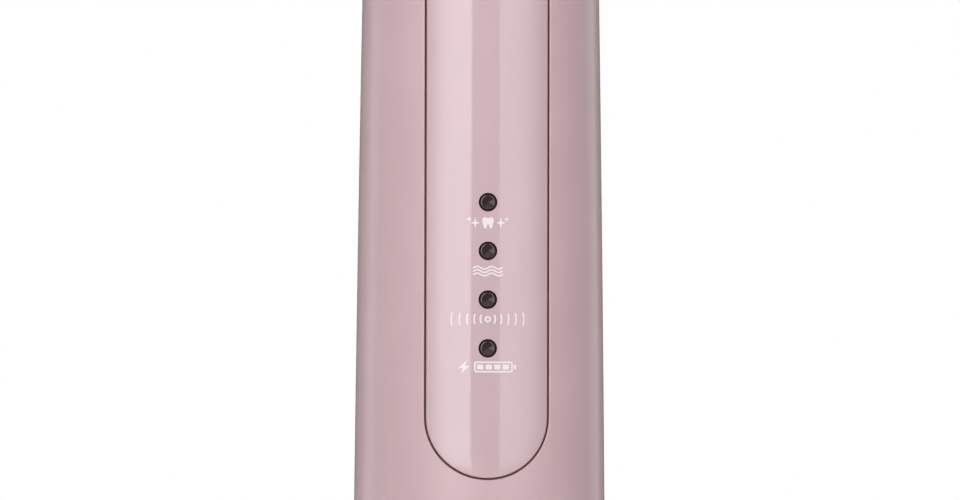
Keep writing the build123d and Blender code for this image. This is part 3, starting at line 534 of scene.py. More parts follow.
def seam_gasket():
    """Brown rubber under the panel's edge, with a bead that fills the seam round it."""
    play, bead_depth, bead_steps = 0.02, 0.30, 8
    outer, away = panel_loop(SLOT_HALF - play)
    inner, window = panel_loop(SLOT_HALF - PANEL_GAP + play)[0], panel_loop(SLOT_HALF - LEDGE)[0]
    out, middle, half = lift_flat(away), (outer + inner) / 2, (PANEL_GAP - 2 * play) / 2
    skin, rows = Skin(), []

    def behind(loop, depth):
        points, normals = flank_point(loop)
        return points + (0, depth, 0), normals

    for a in np.linspace(-math.pi / 2, math.pi / 2, bead_steps + 1):
        points, normals = behind(middle + away * half * math.sin(a), bead_depth - half * math.cos(a))
        rows.append(skin.add(points, unit(normals * math.cos(a) + out * math.sin(a))))
    skin.rows(rows)
    panel_back, shelf = flank_point(inner, PANEL_T)[0], flank_point(outer, LEDGE_DEPTH)[0]
    skin.band(behind(outer, bead_depth)[0], shelf, out)
    skin.band(behind(inner, bead_depth)[0], panel_back, -out)
    ledge_top, ledge_normals = flank_point(window, PANEL_T)
    ledge_foot = flank_point(window, LEDGE_DEPTH)[0]
    skin.band(panel_back, ledge_top, ledge_normals)
    skin.band(ledge_top, ledge_foot, -out)
    skin.band(ledge_foot, shelf, -ledge_normals)
    return skin


def button_rise(rho):
    """How far the button stands out at distances from its middle, and how fast that grows. It is dished, so
    that a fingertip finds it."""
    dish, reach = 0.22, 3.9
    q = np.minimum(rho / reach, 1.0)
    return BUTTON_PROUD - dish * (1 - q**2) ** 2, 4 * dish * q * (1 - q**2) / reach


def button_cap():
    """The power button's cap: its face follows the handle's front."""
    edge, back, rings, edge_steps = 0.22, -9.65, 16, 6
    skin, rows, flat = Skin(), [], BUTTON_R - edge
    e = circle(1.0, (0, 0), 96)
    side = lift_flat(e)

    def row(rho, a=0.0):
        p, n = flank_point(rho * e + (0, BUTTON_H))
        out, slope = button_rise(min(rho, flat))
        lowered = p + (0, edge * (1 - math.cos(a)) - out, 0)
        rows.append(skin.add(lowered, unit(unit(n - slope * side) * math.cos(a) + side * math.sin(a))))

    for rho in np.linspace(0, flat, rings):
        row(rho)
    for a in np.linspace(0, math.pi / 2, edge_steps + 1)[1:]:
        row(flat + edge * math.sin(a), a)
    skin.rows(rows)
    deep = lift_flat(BUTTON_R * e + (0, BUTTON_H), back)
    skin.band(skin.at(rows[-1]), deep, side)
    skin.band(deep, np.broadcast_to((0, back, BUTTON_H), deep.shape), (0, 1, 0))
    return skin


def lens_face(h):
    """A smoked indicator window: a flat blunt cone with a rounded rim, with the light pipe behind it."""
    sunk, slope, blunt, rim, rim_round, steepest, low = 0.04, 0.108, 0.05, 0.97, 0.28, 1.5, 0.7
    flange_r, flange_front, flange_back, pipe_r, back = 1.5, -12.4, -11.7, 1.2, -9.4
    skin, rows = Skin(), []
    e, front = circle(1.0, (0, 0), 64), -float(flank_radius(h))
    side = lift_flat(e)

    def ring(radius, y):
        return lift_flat(radius * e + (0, h), y)

    def row(radius, depth, fall):
        rows.append(skin.add(ring(radius, front + depth), unit(fall * side - (0, 1, 0))))

    def cone(radius):
        return sunk + slope * (math.hypot(radius, blunt) - blunt)

    flat = rim - rim_round
    for radius in np.linspace(0, flat, 12):
        row(radius, cone(radius), slope * radius / math.hypot(radius, blunt))
    start = math.atan(slope)
    for a in np.linspace(start, steepest, 10)[1:]:
        across, down = math.sin(a) - math.sin(start), math.cos(start) - math.cos(a)
        row(flat + rim_round * across, cone(flat) + rim_round * down, math.tan(a))
    skin.rows(rows)
    rim = float(skin.at(rows[-1])[:, 0].max())
    corners = [(rim, front + low), (rim, flange_front), (flange_r, flange_front), (flange_r, flange_back),
               (pipe_r, flange_back), (pipe_r, back), (0, back)]
    loops = [skin.at(rows[-1])] + [ring(*corner) for corner in corners]
    forwards, backwards = (0, -1, 0), (0, 1, 0)
    normals = side, side, forwards, side, backwards, side, backwards
    for a, b, normal in zip(loops[:-1], loops[1:], normals):
        skin.band(a, b, normal)
    return skin


def foot_cap():
    """Base cap with its rounded foot, the well for the charger's post and the spigot inside the shell."""
    return lathe(rounded([(0, 10.0), (5.0, 10.0), (5.0, 0.5, 0.3), (5.5, 0, 0.4), (SEAM_R, 0, 4.0),
                          (SEAM_R, 5.8, 0.14), (12.2, 5.8), (12.2, 11.0, 0.3), (10.9, 11.0), (10.9, 1.8),
                          (6.2, 1.8), (6.2, 11.2), (0, 11.2)], 10), 128)


def neck_ring():
    """Polished collar between the handle and the brush head."""
    return lathe(rounded([(4.5, 169.2), (4.5, 172.02), (NECK_R, 172.02, 0.12), (NECK_R, 174.4, 0.45),
                          (3.4, 174.4, 0.3), (2.6, 173.6, 0.3), (2.6, 169.2), (4.5, 169.2)]), 96)


# ---- Charger


CHARGER_R, CHARGER_DRAFT, SHELL_FOOT, RIM_ROUND = 28.0, 0.6, 1.6, 3.6
CUP_R, CUP_LIP, POST_R, POST_ROUND = 15.2, 0.8, 4.4, 1.4
SOCKET_Z, SOCKET_HALF_W, SOCKET_HALF_H, SOCKET_ROUND = 5.8, 4.7, 1.85, 0.15


def puck_housing():
    """Charger housing: a turned shell with a dished cup, the post, and the socket's mouth at the back."""
    corner, straight, end = counts = (8, 12, 16)
    spread, low_z, high_z, beside = math.radians(16), 2.6, 9.0, 116
    top_r, top_z, wall, post_rise = CHARGER_R - CHARGER_DRAFT, 14.0, 1.8, 9.0
    inner_r, inner_top_r, post_bore_r, cup_under_r, roof_z = 26.2, 25.6, 2.6, 17, 11.9
    shoulder_z, post_top = top_z - RIM_ROUND, SEAT + post_rise

    def side(r_foot, r_top, z_top, heights):
        t = (heights - SHELL_FOOT) / (z_top - SHELL_FOOT)
        points = np.stack([r_foot + (r_top - r_foot) * t, heights], -1)
        return points, np.broadcast_to(unit((z_top - SHELL_FOOT, r_foot - r_top)), points.shape)

    heights = graded((low_z, high_z, end))
    foot = rounded([(inner_r, SHELL_FOOT), (CHARGER_R, SHELL_FOOT, 0.3), (CHARGER_R - 0.03, 2.2)])
    crown = rounded([(top_r + 0.02, shoulder_z - 0.3), (top_r - 0.23, 13.72, 3.2),
                     (top_r - RIM_ROUND - 2, 13.77, 20.0), (CUP_R, top_z, CUP_LIP), (CUP_R, SEAT, 0.35),
                     (POST_R, SEAT, 0.3), (POST_R, post_top, POST_ROUND), (0, post_top)], 10)
    outer = joined(foot, side(CHARGER_R, top_r, shoulder_z, heights), crown)
    columns = 2 * corner + straight
    angles = graded((-spread, spread, columns), (spread, 2 * math.pi - spread, beside))[:-1]
    skin = Skin()
    first = len(foot[0])
    front = RoundWall(skin, outer, angles, first, first + end, columns)

    def loop_at(outward):
        reach = SOCKET_HALF_W - SOCKET_HALF_H
        return slot_loop(SOCKET_HALF_H + outward, (0.0, SOCKET_Z), reach, False, counts)

    front.rings(loop_at(SOCKET_ROUND)[0], 6)
    last, loop, into = rounded_edge(skin, front.under, loop_at, SOCKET_ROUND, -1, 4)
    start = rounded([(0, post_top - wall), (post_bore_r, post_top - wall), (post_bore_r, SEAT - wall),
                     (cup_under_r, SEAT - wall), (cup_under_r, roof_z), (22.8, roof_z),
                     (inner_top_r, high_z + 0.2), (inner_top_r + 0.01, high_z + 0.1)])
    stop = rounded([(inner_r - 0.02, 2.0), (inner_r, SHELL_FOOT), (inner_r + 0.1, SHELL_FOOT)])
    inner = joined(start, side(inner_r, inner_top_r, high_z, heights[::-1]), stop)
    inner = inner[0][::-1], inner[1][::-1]
    first = len(stop[0])
    back = RoundWall(skin, inner, angles, first, first + end, columns)
    back.rings(loop_at(0.0)[0], 3)
    skin.band(last, back.under(loop)[0], into)
    return skin.turned_round()


# ---- Brush head


HEAD_BASE, HEAD_BASE_R = 175.4, 7.25
STEM = ((175.9, 7.25), (186.0, 6.75), (201.0, 4.9), (214.0, 3.3), (224.0, 2.9))
HEAD_CENTRE, HEAD_HALF_W, HEAD_HALF_H = 237.0, 6.3, 13.4
HEAD_FRONT, HEAD_BACK, FRONT_ROUND, BACK_ROUND = -2.6, 2.2, 0.4, 1.7
RING_R, RING_LOW, RING_HIGH = 7.05, 179.05, 181.95
TUFT_R, TUFT_LENGTH, TUFT_SINK = 0.85, 10.0, 2.0
STEM_START, LOFT_FROM, FLAT_FROM, ELLIPSE_FROM = RING_HIGH + 0.35, 211.0, 225.9, 234.0


def smooth(t):
    t = np.clip(t, 0, 1)
    return t * t * (3 - 2 * t)


def stem_radius(z):
    """A smooth curve through the stem's knots, upright at both ends."""
    knots, values = np.array(STEM).T
    h, rise = np.diff(knots), np.diff(values)
    n = len(knots)
    matrix, right = np.eye(n), np.zeros(n)
    for i in range(1, n - 1):
        matrix[i, i - 1], matrix[i, i + 1] = 1 / h[i - 1], 1 / h[i]
        matrix[i, i] = 2 * (1 / h[i - 1] + 1 / h[i])
        right[i] = 3 * (rise[i - 1] / h[i - 1] ** 2 + rise[i] / h[i] ** 2)
    slopes = np.linalg.solve(matrix, right)
    z = np.clip(z, knots[0], knots[-1])
    k = np.clip(np.searchsorted(knots, z, side="right") - 1, 0, n - 2)
    t = (z - knots[k]) / h[k]
    return ((1 + 2 * t) * (1 - t) ** 2 * values[k] + t * (1 - t) ** 2 * h[k] * slopes[k]
            + t * t * (3 - 2 * t) * values[k + 1] + t * t * (t - 1) * h[k] * slopes[k + 1])


def tuft_places():
    """(x, height) of each tuft, in staggered rows inside the head's oval."""
    pitch_x, pitch_z, margin = 2.15, 2.3, 1.2
    rows, columns = 5, 3
    places = []
    for row in range(-rows, rows + 1):
        for column in range(-columns, columns + 1):
            x, z = (column + 0.5 * (row % 2)) * pitch_x, row * pitch_z
            if math.hypot((abs(x) + margin) / HEAD_HALF_W, (abs(z) + margin) / HEAD_HALF_H) <= 1.0:
                places.append((x, HEAD_CENTRE + z))
    return places


def is_inner(place):
    return math.hypot(place[0] / HEAD_HALF_W, (place[1] - HEAD_CENTRE) / HEAD_HALF_H) < 0.5


def head_outline():
    """Rows from the stem to the head's tip: the silhouette's points, their outward directions, and the
    heights on the middle line that the rows run from."""
    blend_width, blend_low, blend_rise, blend_high, blend_fall = 0.9, 214.0, 9.0, 228.0, 6.0
    fan_low, fan_rise = 222.0, 12.0
    heights = graded((STEM_START, blend_low, 14), (blend_low, FLAT_FROM, 12), (FLAT_FROM, ELLIPSE_FROM, 9))
    oval = HEAD_HALF_W * np.sqrt(np.clip(1 - ((heights - HEAD_CENTRE) / HEAD_HALF_H) ** 2, 0, 1))
    stem, blend = stem_radius(heights), blend_width * (1 - smooth((heights - blend_high) / blend_fall))
    blend = blend**2 * smooth((heights - blend_low) / blend_rise)
    x = (stem + oval + np.sqrt((stem - oval) ** 2 + blend)) / 2
    start = math.asin((ELLIPSE_FROM - HEAD_CENTRE) / HEAD_HALF_H)
    turn = graded((start, math.pi / 2, 26))[1:]
    tip = np.stack([HEAD_HALF_W * np.cos(turn), HEAD_CENTRE + HEAD_HALF_H * np.sin(turn)], -1)
    outline = np.vstack([np.stack([x, heights], -1), tip])
    way = np.gradient(outline, axis=0)
    away = unit(np.stack([way[:, 1], -way[:, 0]], -1))
    away[-1] = (0, 1)
    focus = HEAD_CENTRE + (outline[:, 1] - HEAD_CENTRE) * (1 - (HEAD_HALF_W / HEAD_HALF_H) ** 2)
    share = smooth((outline[:, 1] - fan_low) / fan_rise)
    return outline, away, outline[:, 1] + share * (focus - outline[:, 1])


def brush_stem():
    """Stem and head as one skin: a turned foot, a loft that flattens into the head, and tuft holes."""
    flat, front, side, back = 7, 5, 4, 8
    half = 2 * flat + front + side + back
    bore_r, bore_low, bore_high, foot_r, ring_bore, play = 3.25, 178.4, 197.2, 5.6, 6.3, 0.05
    ring_top = RING_HIGH + play
    skin = Skin()
    foot = rounded([(0, bore_high), (bore_r, bore_high), (bore_r, bore_low), (foot_r, bore_low),
                    (foot_r, HEAD_BASE, 0.2), (HEAD_BASE_R, HEAD_BASE, 0.5),
                    (HEAD_BASE_R - 0.06, RING_LOW - play, 0.1), (ring_bore, RING_LOW - play),
                    (ring_bore, ring_top), (float(stem_radius(ring_top)), ring_top, 0.1),
                    (float(stem_radius(STEM_START)), STEM_START)])
    turn = math.pi * np.arange(2 * half) / half
    skin.rows(skin.add(*around(foot, turn)))

    outline, away, middle = head_outline()
    count, heights = len(outline), outline[:, 1]
    share = smooth((heights - LOFT_FROM) / (FLAT_FROM - LOFT_FROM))[:, None, None]
    e = np.stack([np.sin(turn[:half + 1]), -np.cos(turn[:half + 1])], -1)
    round_part = stem_radius(heights)[:, None, None] * e
    stem = np.append(round_part, np.broadcast_to(heights[:, None, None], (count, half + 1, 1)), 2)
    stem_normals = np.broadcast_to(np.append(e, np.zeros((half + 1, 1)), 1), stem.shape)
    centre = np.stack([np.zeros(count), middle], -1)
    side_low, side_high = HEAD_FRONT + FRONT_ROUND, HEAD_BACK - BACK_ROUND
    upright = math.pi / 2
    stations = [(t, upright, FRONT_ROUND, HEAD_FRONT, -1) for t in np.arange(flat) / flat]
    stations += [(1, a, FRONT_ROUND, HEAD_FRONT, -1) for a in upright * (1 - np.arange(front) / front)]
    stations += [(1, 0, 0, y, 1) for y in graded((side_low, side_high, side))[:-1]]
    stations += [(1, a, BACK_ROUND, HEAD_BACK, 1) for a in upright * np.arange(back) / back]
    stations += [(t, upright, BACK_ROUND, HEAD_BACK, 1) for t in 1 - np.arange(flat + 1) / flat]
    points, normals = [], []
    for t, a, rounding, y, sign in stations:
        inset = outline - away * rounding * (1 - math.cos(a))
        points.append(lift_flat(centre + t * (inset - centre), y - sign * rounding * (1 - math.sin(a))))
        normals.append(lift_flat(away) * math.cos(a) + (0, sign * math.sin(a), 0))
    head, head_normals = np.stack(points, 1), np.stack(normals, 1)
    body = stem * (1 - share) + head * share
    body_normals = unit(stem_normals * (1 - share) + head_normals * share)
    along = unit(np.gradient(body, axis=0) + 1e-12)
    level_part = (body_normals * along).sum(-1, keepdims=True) * along
    body_normals = unit(body_normals - np.where(share < 1, level_part, 0))

    def mirrored(half_rows):
        return np.concatenate([half_rows, half_rows[:, half - 1:0:-1] * (-1, 1, 1)], 1)

    body, body_normals = mirrored(body), mirrored(body_normals)
    index = skin.add(body, body_normals)
    first = int(np.argmin(abs(heights - FLAT_FROM)))
    for i in range(count - 1):
        for j in range(2 * half):
            if i < first or flat <= j < 2 * half - flat:
                k = (j + 1) % (2 * half)
                skin.faces.append((index[i, j], index[i, k], index[i + 1, k], index[i + 1, j]))
    drill_front(skin, body, first, flat)
    return skin


def drill_front(skin, body, first, flat):
    """The flat front of the head with a blind hole for each tuft."""
    edge_right, edge_left = body[first:, flat], body[first:, -flat]
    bottom = np.vstack([body[first, -flat:], body[first, :flat]])
    loop = np.vstack([bottom, edge_right, edge_left[-2:0:-1]])[:, [0, 2]]
    places, count = tuft_places(), 20
    holes = [circle(TUFT_R, p, count) for p in places]

    def keep(c):
        outside = np.ones(len(c), bool)
        for p in places:
            outside &= np.hypot(*(c - p).T) > TUFT_R * 0.98
        return outside & inside_polygon(c, loop)

    pairs, triangles = fill([loop] + holes, keep, ())
    skin.triangles(skin.add(lift_flat(pairs, HEAD_FRONT), (0, -1, 0)), triangles)
    deep = HEAD_FRONT + TUFT_SINK
    for p, hole in zip(places, holes):
        inwards = -lift_flat((hole - p) / TUFT_R)
        skin.band(lift_flat(hole, HEAD_FRONT), lift_flat(hole, deep), inwards)
        skin.band(lift_flat(hole, deep), np.broadcast_to((p[0], deep, p[1]), (count, 3)), (0, -1, 0))


def ring_band():
    """Coloured ring that tells one person's brush head from another's."""
    bore_r, rounding = 6.35, 0.3
    return lathe(rounded([(bore_r, RING_LOW), (RING_R, RING_LOW, rounding), (RING_R, RING_HIGH, rounding),
                          (bore_r, RING_HIGH), (bore_r, RING_LOW)]), 96)


def filaments(inner, seed):
    """Rounded nylon filaments, each tuft in rings that spread a little towards the tips."""
    rng = random.Random(seed)
    thick, sides, pitch, lean_low, lean_high, stray, uneven = 0.105, 6, 0.237, 0.01, 0.045, 0.06, 0.28
    y0 = HEAD_FRONT + TUFT_SINK
    skin, turn = Skin(), circle(1.0, (0, 0), sides)
    for place in tuft_places():
        if is_inner(place) != inner:
            continue
        for ring, number in enumerate((1, 6, 12, 18)):
            for k in range(number):
                a = 2 * math.pi * (k + 0.5 * (ring % 2)) / number + rng.uniform(-0.05, 0.05)
                away = np.array((math.cos(a), math.sin(a)))
                root = place + pitch * ring * away
                lean = away * ring * rng.uniform(lean_low, lean_high)
                lean += (rng.uniform(-stray, stray), rng.uniform(-stray, stray))
                y1 = HEAD_FRONT - TUFT_LENGTH + rng.uniform(0.0, uneven)
                rows = [(t, 0) for t in (0, 0.2, 0.45, 0.7, 0.9, 1.0)] + [(1.0, c) for c in (0.5, 0.87, 1.0)]
                points, normals = [], []
                for t, c in rows:
                    wide = math.sqrt(1 - c * c)
                    y = y0 + (y1 + thick - y0) * t - thick * c
                    points.append(lift_flat(root + lean * t**2 + thick * wide * turn, y))
                    normals.append(lift_flat(wide * turn, -c))
                skin.rows(skin.add(np.array(points), np.array(normals)))
                skin.band(points[0], np.broadcast_to(lift_flat(root, y0), (sides, 3)), (0, 1, 0))
    return skin


# ---- Printed marks


def dense(polygon, step=0.12):
    """The same closed outline with no side longer than the step."""
    polygon = np.asarray(polygon, float)
    points = []
    for a, b in zip(polygon, np.roll(polygon, -1, 0)):
        n = max(1, math.ceil(np.linalg.norm(b - a) / step))
        points += [a + (b - a) * k / n for k in range(n)]
    return np.array(points)


def ribbon(points, width):
    """A stroke along open points, with round ends."""
    points = np.asarray(points, float)
    way = unit(np.gradient(points, axis=0))
    side = np.stack([-way[:, 1], way[:, 0]], -1) * width / 2

    def cap(centre, direction):
        a = math.atan2(direction[1], direction[0]) + np.linspace(-math.pi / 2, math.pi / 2, 9)[1:-1]
        return centre + way_of(a) * width / 2

    return np.vstack([points - side, cap(points[-1], way[-1]), (points + side)[::-1],
                      cap(points[0], -way[0])])


def arc(centre, radius, start, stop, count=24):
    return np.asarray(centre) + radius * way_of(np.radians(np.linspace(start, stop, count)))


def curve_through(points, steps=5):
    """A smooth closed outline through some points."""
    p = np.asarray(points, float)
    before, after, later = np.roll(p, 1, 0), np.roll(p, -1, 0), np.roll(p, -2, 0)
    result = []
    for t in np.arange(steps) / steps:
        result.append(0.5 * (2 * p + (after - before) * t + (2 * before - 5 * p + 4 * after - later) * t**2
                             + (3 * p - before - 3 * after + later) * t**3))
    return np.stack(result, 1).reshape(-1, 2)


def star(centre, radius):
    """A four-pointed sparkle, a little taller than wide."""
    waist, width = 0.3, 0.82
    a = math.pi * (0.5 + np.arange(8) / 4)
    r = radius * np.where(np.arange(8) % 2, waist, 1.0)
    return np.asarray(centre) + np.stack([width * r * np.cos(a), r * np.sin(a)], -1)


def round_box(x0, x1, z0, z1, r):
    corners = (x1 - r, z0 + r), (x1 - r, z1 - r), (x0 + r, z1 - r), (x0 + r, z0 + r)
    return np.vstack([arc(corner, r, 90 * k - 90, 90 * k, 6) for k, corner in enumerate(corners)])


def tooth(scale):
    """A molar with two roots, drawn through points down its right side and up its left."""
    right = [(0.20, 0.50), (0.42, 0.52), (0.58, 0.36), (0.60, 0.10), (0.50, -0.18), (0.44, -0.46),
             (0.33, -0.66), (0.20, -0.62), (0.13, -0.36)]
    points = [(0, 0.43)] + right + [(0, -0.16)] + [(-x, z) for x, z in right[::-1]]
    return curve_through(scale * np.array(points))


def marks_clean():
    shapes = [(True, tooth(1.08))]
    for side in (-1, 1):
        shapes += [(True, star((side * 1.45, -0.06), 0.66)), (True, star((side * 2.12, 0.36), 0.36))]
    return shapes


def marks_soft():
    x = np.linspace(-1.62, 1.62, 49)
    wave = 0.15 * np.sin(x * math.pi / 0.81)
    return [(True, ribbon(np.stack([x, z + wave], -1), 0.17)) for z in (0.38, 0.0, -0.38)]


def marks_massage():
    shapes = [(True, circle(0.36, (0, 0), 32)), (False, circle(0.17, (0, 0), 24))]
    for middle in (180, 0):
        for k, radius in enumerate((0.85, 1.55, 2.35, 3.2, 4.1)):
            half_height, width = 0.42 + 0.07 * k, 0.19 - 0.012 * k
            reach = math.degrees(math.asin(half_height / radius))
            shapes.append((True, ribbon(arc((0, 0), radius, middle - reach, middle + reach), width)))
    return shapes


def marks_charge():
    shapes = [(True, round_box(-1.55, 2.85, -0.62, 0.62, 0.24)),
              (False, round_box(-1.37, 2.67, -0.44, 0.44, 0.1)),
              (True, round_box(2.95, 3.22, -0.26, 0.26, 0.1))]
    for k in range(4):
        shapes.append((True, round_box(-1.22 + 0.97 * k, -0.5 + 0.97 * k, -0.28, 0.28, 0.06)))
    bolt = [(-2.35, 0.78), (-3.3, -0.14), (-2.78, -0.14), (-3.0, -0.78), (-2.05, 0.14), (-2.57, 0.14)]
    return shapes + [(True, bolt)]


def marks_power():
    return [(True, ribbon(line, 0.26)) for line in (arc((0, 0), 1.25, 128, 412, 64), [(0, 0.35), (0, 1.6)])]


def printed(shapes, surface):
    """A thin printed mark: outlines that add to or cut from what is already there, laid on a surface."""
    shapes = [(adds, dense(polygon)) for adds, polygon in shapes]
    points, edges = closed_edges([polygon for _, polygon in shapes])
    vertices, _, faces, *_ = delaunay_2d_cdt(points, edges, [], 0, 1e-6)
    flat, triangles = np.array([tuple(v) for v in vertices]), np.array([tuple(f) for f in faces])
    centre, solid = flat[triangles].mean(1), np.zeros(len(triangles), bool)
    for adds, polygon in shapes:
        solid[inside_polygon(centre, polygon)] = adds
    triangles = triangles[solid]
    used, triangles = np.unique(triangles, return_inverse=True)
    flat, triangles = flat[used], triangles.reshape(-1, 3)
    proud, sunk = 0.014, 0.02
    points, normals = surface(flat)
    high, low = points + normals * proud, points - normals * sunk
    skin = Skin()
    skin.triangles(skin.add(high, normals), triangles)
    skin.triangles(skin.add(low, -normals), triangles)
    sides = {}
    for t in triangles:
        for a, b in zip(t, np.roll(t, -1)):
            key = (min(a, b), max(a, b))
            sides[key] = None if key in sides else (a, b)
    for pair in sides.values():
        if pair:
            a, b = pair
            x, z = flat[b] - flat[a]
            skin.faces.append(tuple(skin.add([high[a], high[b], low[b], low[a]], unit((z, 0.0, -x)))))
    return skin


def on_button(flat):
    """Points and normals on the button's face at (x, height) pairs about its middle."""
    points, normals = flank_point(flat + (0, BUTTON_H))
    rho = np.hypot(flat[:, 0], flat[:, 1])
    rise, slope = button_rise(rho)
    points[:, 1] -= rise
    away = lift_flat(flat / np.maximum(rho, 1e-9)[:, None])
    return points, unit(normals - slope[:, None] * away)


# ---- Materials


def new_node(tree, kind, inputs=(), **settings):
    """A shader node with its settings and then its inputs, each a value or another node's output."""
    node = tree.nodes.new("ShaderNode" + kind)
    for key, value in settings.items():
        setattr(node, key, value)
    for key, value in dict(inputs).items():
        if isinstance(value, bpy.types.NodeSocket):
            tree.links.new(value, node.inputs[key])
        else:
            node.inputs[key].default_value = value
    return node


def new_tree(owner):
    """The empty node tree of a material or a world."""
    owner.use_nodes = True
    owner.node_tree.nodes.clear()
    return owner.node_tree


class Finish:
    """A procedural material under construction: a shader and helpers that feed its colour, roughness and bump
    from noise in the part's own coordinates."""

    def __init__(self, name, colour, roughness, **sockets):
        self.material = bpy.data.materials.new(name)
        self.material.use_nodes = True
        self.tree = self.material.node_tree
        self.shader = self.tree.nodes["Principled BSDF"]
        self.shader.inputs["Base Color"].default_value = (*colour, 1)
        self.shader.inputs["Roughness"].default_value = roughness
        for key, value in sockets.items():
            self.shader.inputs[key.replace("_", " ")].default_value = value
        self.colour, self.roughness = colour, roughness
        self.where = self.new("TexCoord").outputs["Object"]
        self.height = None

    def new(self, kind, inputs=(), **settings):
        return new_node(self.tree, kind, inputs, **settings)

    def feed(self, output, name):
        """Links an output to one of the shader's inputs."""
        self.tree.links.new(output, self.shader.inputs[name])
        return self

    def stretched(self, scale):
        """Coordinates scaled differently along X, Y and Z."""
        return self.new("Mapping", {"Scale": scale, "Vector": self.where}).outputs["Vector"]

    def noise(self, size, detail=2.0, rough=0.5, where=None):
        """Noise from 0 to 1 whose features are about a size in millimetres across."""
        return self.new("TexNoise", {"Scale": 1 / (size * MM), "Detail": detail, "Roughness": rough,
                                     "Vector": where or self.where}).outputs["Fac"]

    def between(self, value, low, high, start=0.3, stop=0.7):
        """Maps a value's middle range onto low to high."""
        return self.new("MapRange", {"From Min": start, "From Max": stop, "To Min": low, "To Max": high,
                                     "Value": value}).outputs["Result"]

    def maths(self, operation, a, b):
        return self.new("Math", {0: a, 1: b}, operation=operation).outputs[0]

    def tint(self, factor, other, amount=1.0):
        """Mixes the colour so far with another where the factor says so."""
        links = self.shader.inputs["Base Color"].links
        before = links[0].from_socket if links else (*self.colour, 1)
        factor = self.maths("MULTIPLY", factor, amount)
        mix = self.new("Mix", {"A": before, "B": (*other, 1), "Factor": factor}, data_type="RGBA")
        return self.feed(mix.outputs["Result"], "Base Color")

    def mottle(self, size, spread):
        """Slight unevenness of the colour, darker in some places and lighter in others."""
        value = self.noise(size, 3.0)
        self.tint(self.between(value, 1, 0), tuple(c * (1 - spread) for c in self.colour))
        light = tuple(min(1.0, c * (1 + spread)) for c in self.colour)
        return self.tint(self.between(value, 0, 1, 0.5, 0.75), light)

    def rough(self, size, spread, detail=3.0, where=None):
        """Uneven roughness, by a share of the even one."""
        value, r = self.noise(size, detail, 0.6, where), self.roughness
        return self.feed(self.between(value, r * (1 - spread), r * (1 + spread)), "Roughness")

    def bump(self, value, depth):
        """Adds relief, depth in micrometres."""
        value = self.maths("MULTIPLY", value, depth * 1e-6)
        self.height = value if self.height is None else self.maths("ADD", self.height, value)
        return self

    def relief(self, size, depth, detail=2.0, rough=0.5, where=None):
        """Adds relief from noise."""
        return self.bump(self.noise(size, detail, rough, where), depth)

    def done(self):
        if self.height is not None:
            self.feed(self.new("Bump", {"Distance": 1.0, "Height": self.height}).outputs["Normal"], "Normal")
        return self.material


def moulded(name, colour, roughness, grain, depth, spread=0.03, **sockets):
    """Injection-moulded plastic: a fine etched grain over a slow waviness."""
    f = Finish(name, colour, roughness, **sockets).mottle(9.0, spread).rough(6.0, 0.04, 1.0)
    return f.relief(grain, depth).relief(5.0, 0.6, 1.0).done()


def metal(name, colour, roughness, stretch=(1, 1, 1), depth=0.4, spread=0.05):
    f = Finish(name, colour, roughness, Metallic=1.0).mottle(4.0, spread)
    lay = f.stretched(stretch)
    return f.rough(0.35, 0.25, 4.0, lay).relief(0.12, depth, 3.0, 0.6, lay).done()


def rubber(name, colour, roughness):
    f = Finish(name, colour, roughness, Specular_IOR_Level=0.35).mottle(3.0, 0.12).rough(1.0, 0.1)
    return f.relief(0.14, 5.0, 3.0).relief(1.6, 6.0).done()


def glossy(name, colour, roughness, mottle, rough, *reliefs, **sockets):
    """A smooth finish from (size, spread) of its mottling and roughness and (size, depth, ...) of reliefs."""
    f = Finish(name, colour, roughness, **sockets).mottle(*mottle).rough(*rough)
    for relief in reliefs:
        f.relief(*relief)
    return f.done()


def nylon(name, colour):
    """Drawn filament, its fine relief running along it."""
    f = Finish(name, colour, 0.38).mottle(0.6, 0.06)
    lay = f.stretched((1, 0.1, 1))
    return f.rough(0.5, 0.2).relief(0.4, 0.5, 1.0, 0.5, lay).done()


def copper_winding():
    f = Finish("copper_winding", (0.63, 0.24, 0.10), 0.36, Metallic=1.0, Coat_Weight=0.6).mottle(1.2, 0.15)
    turns = f.new("TexWave", {"Scale": 0.25 / MM, "Distortion": 0.6, "Vector": f.where}, bands_direction="Z")
    return f.rough(0.5, 0.2).bump(turns.outputs["Fac"], 40.0).done()


def circuit_board():
    f = Finish("board_green", (0.02, 0.12, 0.05), 0.2, Coat_Weight=0.4).rough(1.5, 0.25)
    cells = f.new("TexVoronoi", {"Scale": 1 / (2.2 * MM), "Vector": f.where}, feature="DISTANCE_TO_EDGE")
    tracks = f.between(cells.outputs["Distance"], 1, 0, 0.06, 0.09)
    return f.tint(tracks, (0.05, 0.20, 0.07), 0.8).bump(tracks, 12.0).done()


def shrink_wrap():
    f = Finish("cell_wrap", (0.03, 0.10, 0.30), 0.2, Coat_Weight=0.5).mottle(5.0, 0.1).rough(2.0, 0.3)
    return f.relief(2.0, 25.0, 2.0, 0.5, f.stretched((1, 1, 0.3))).done()


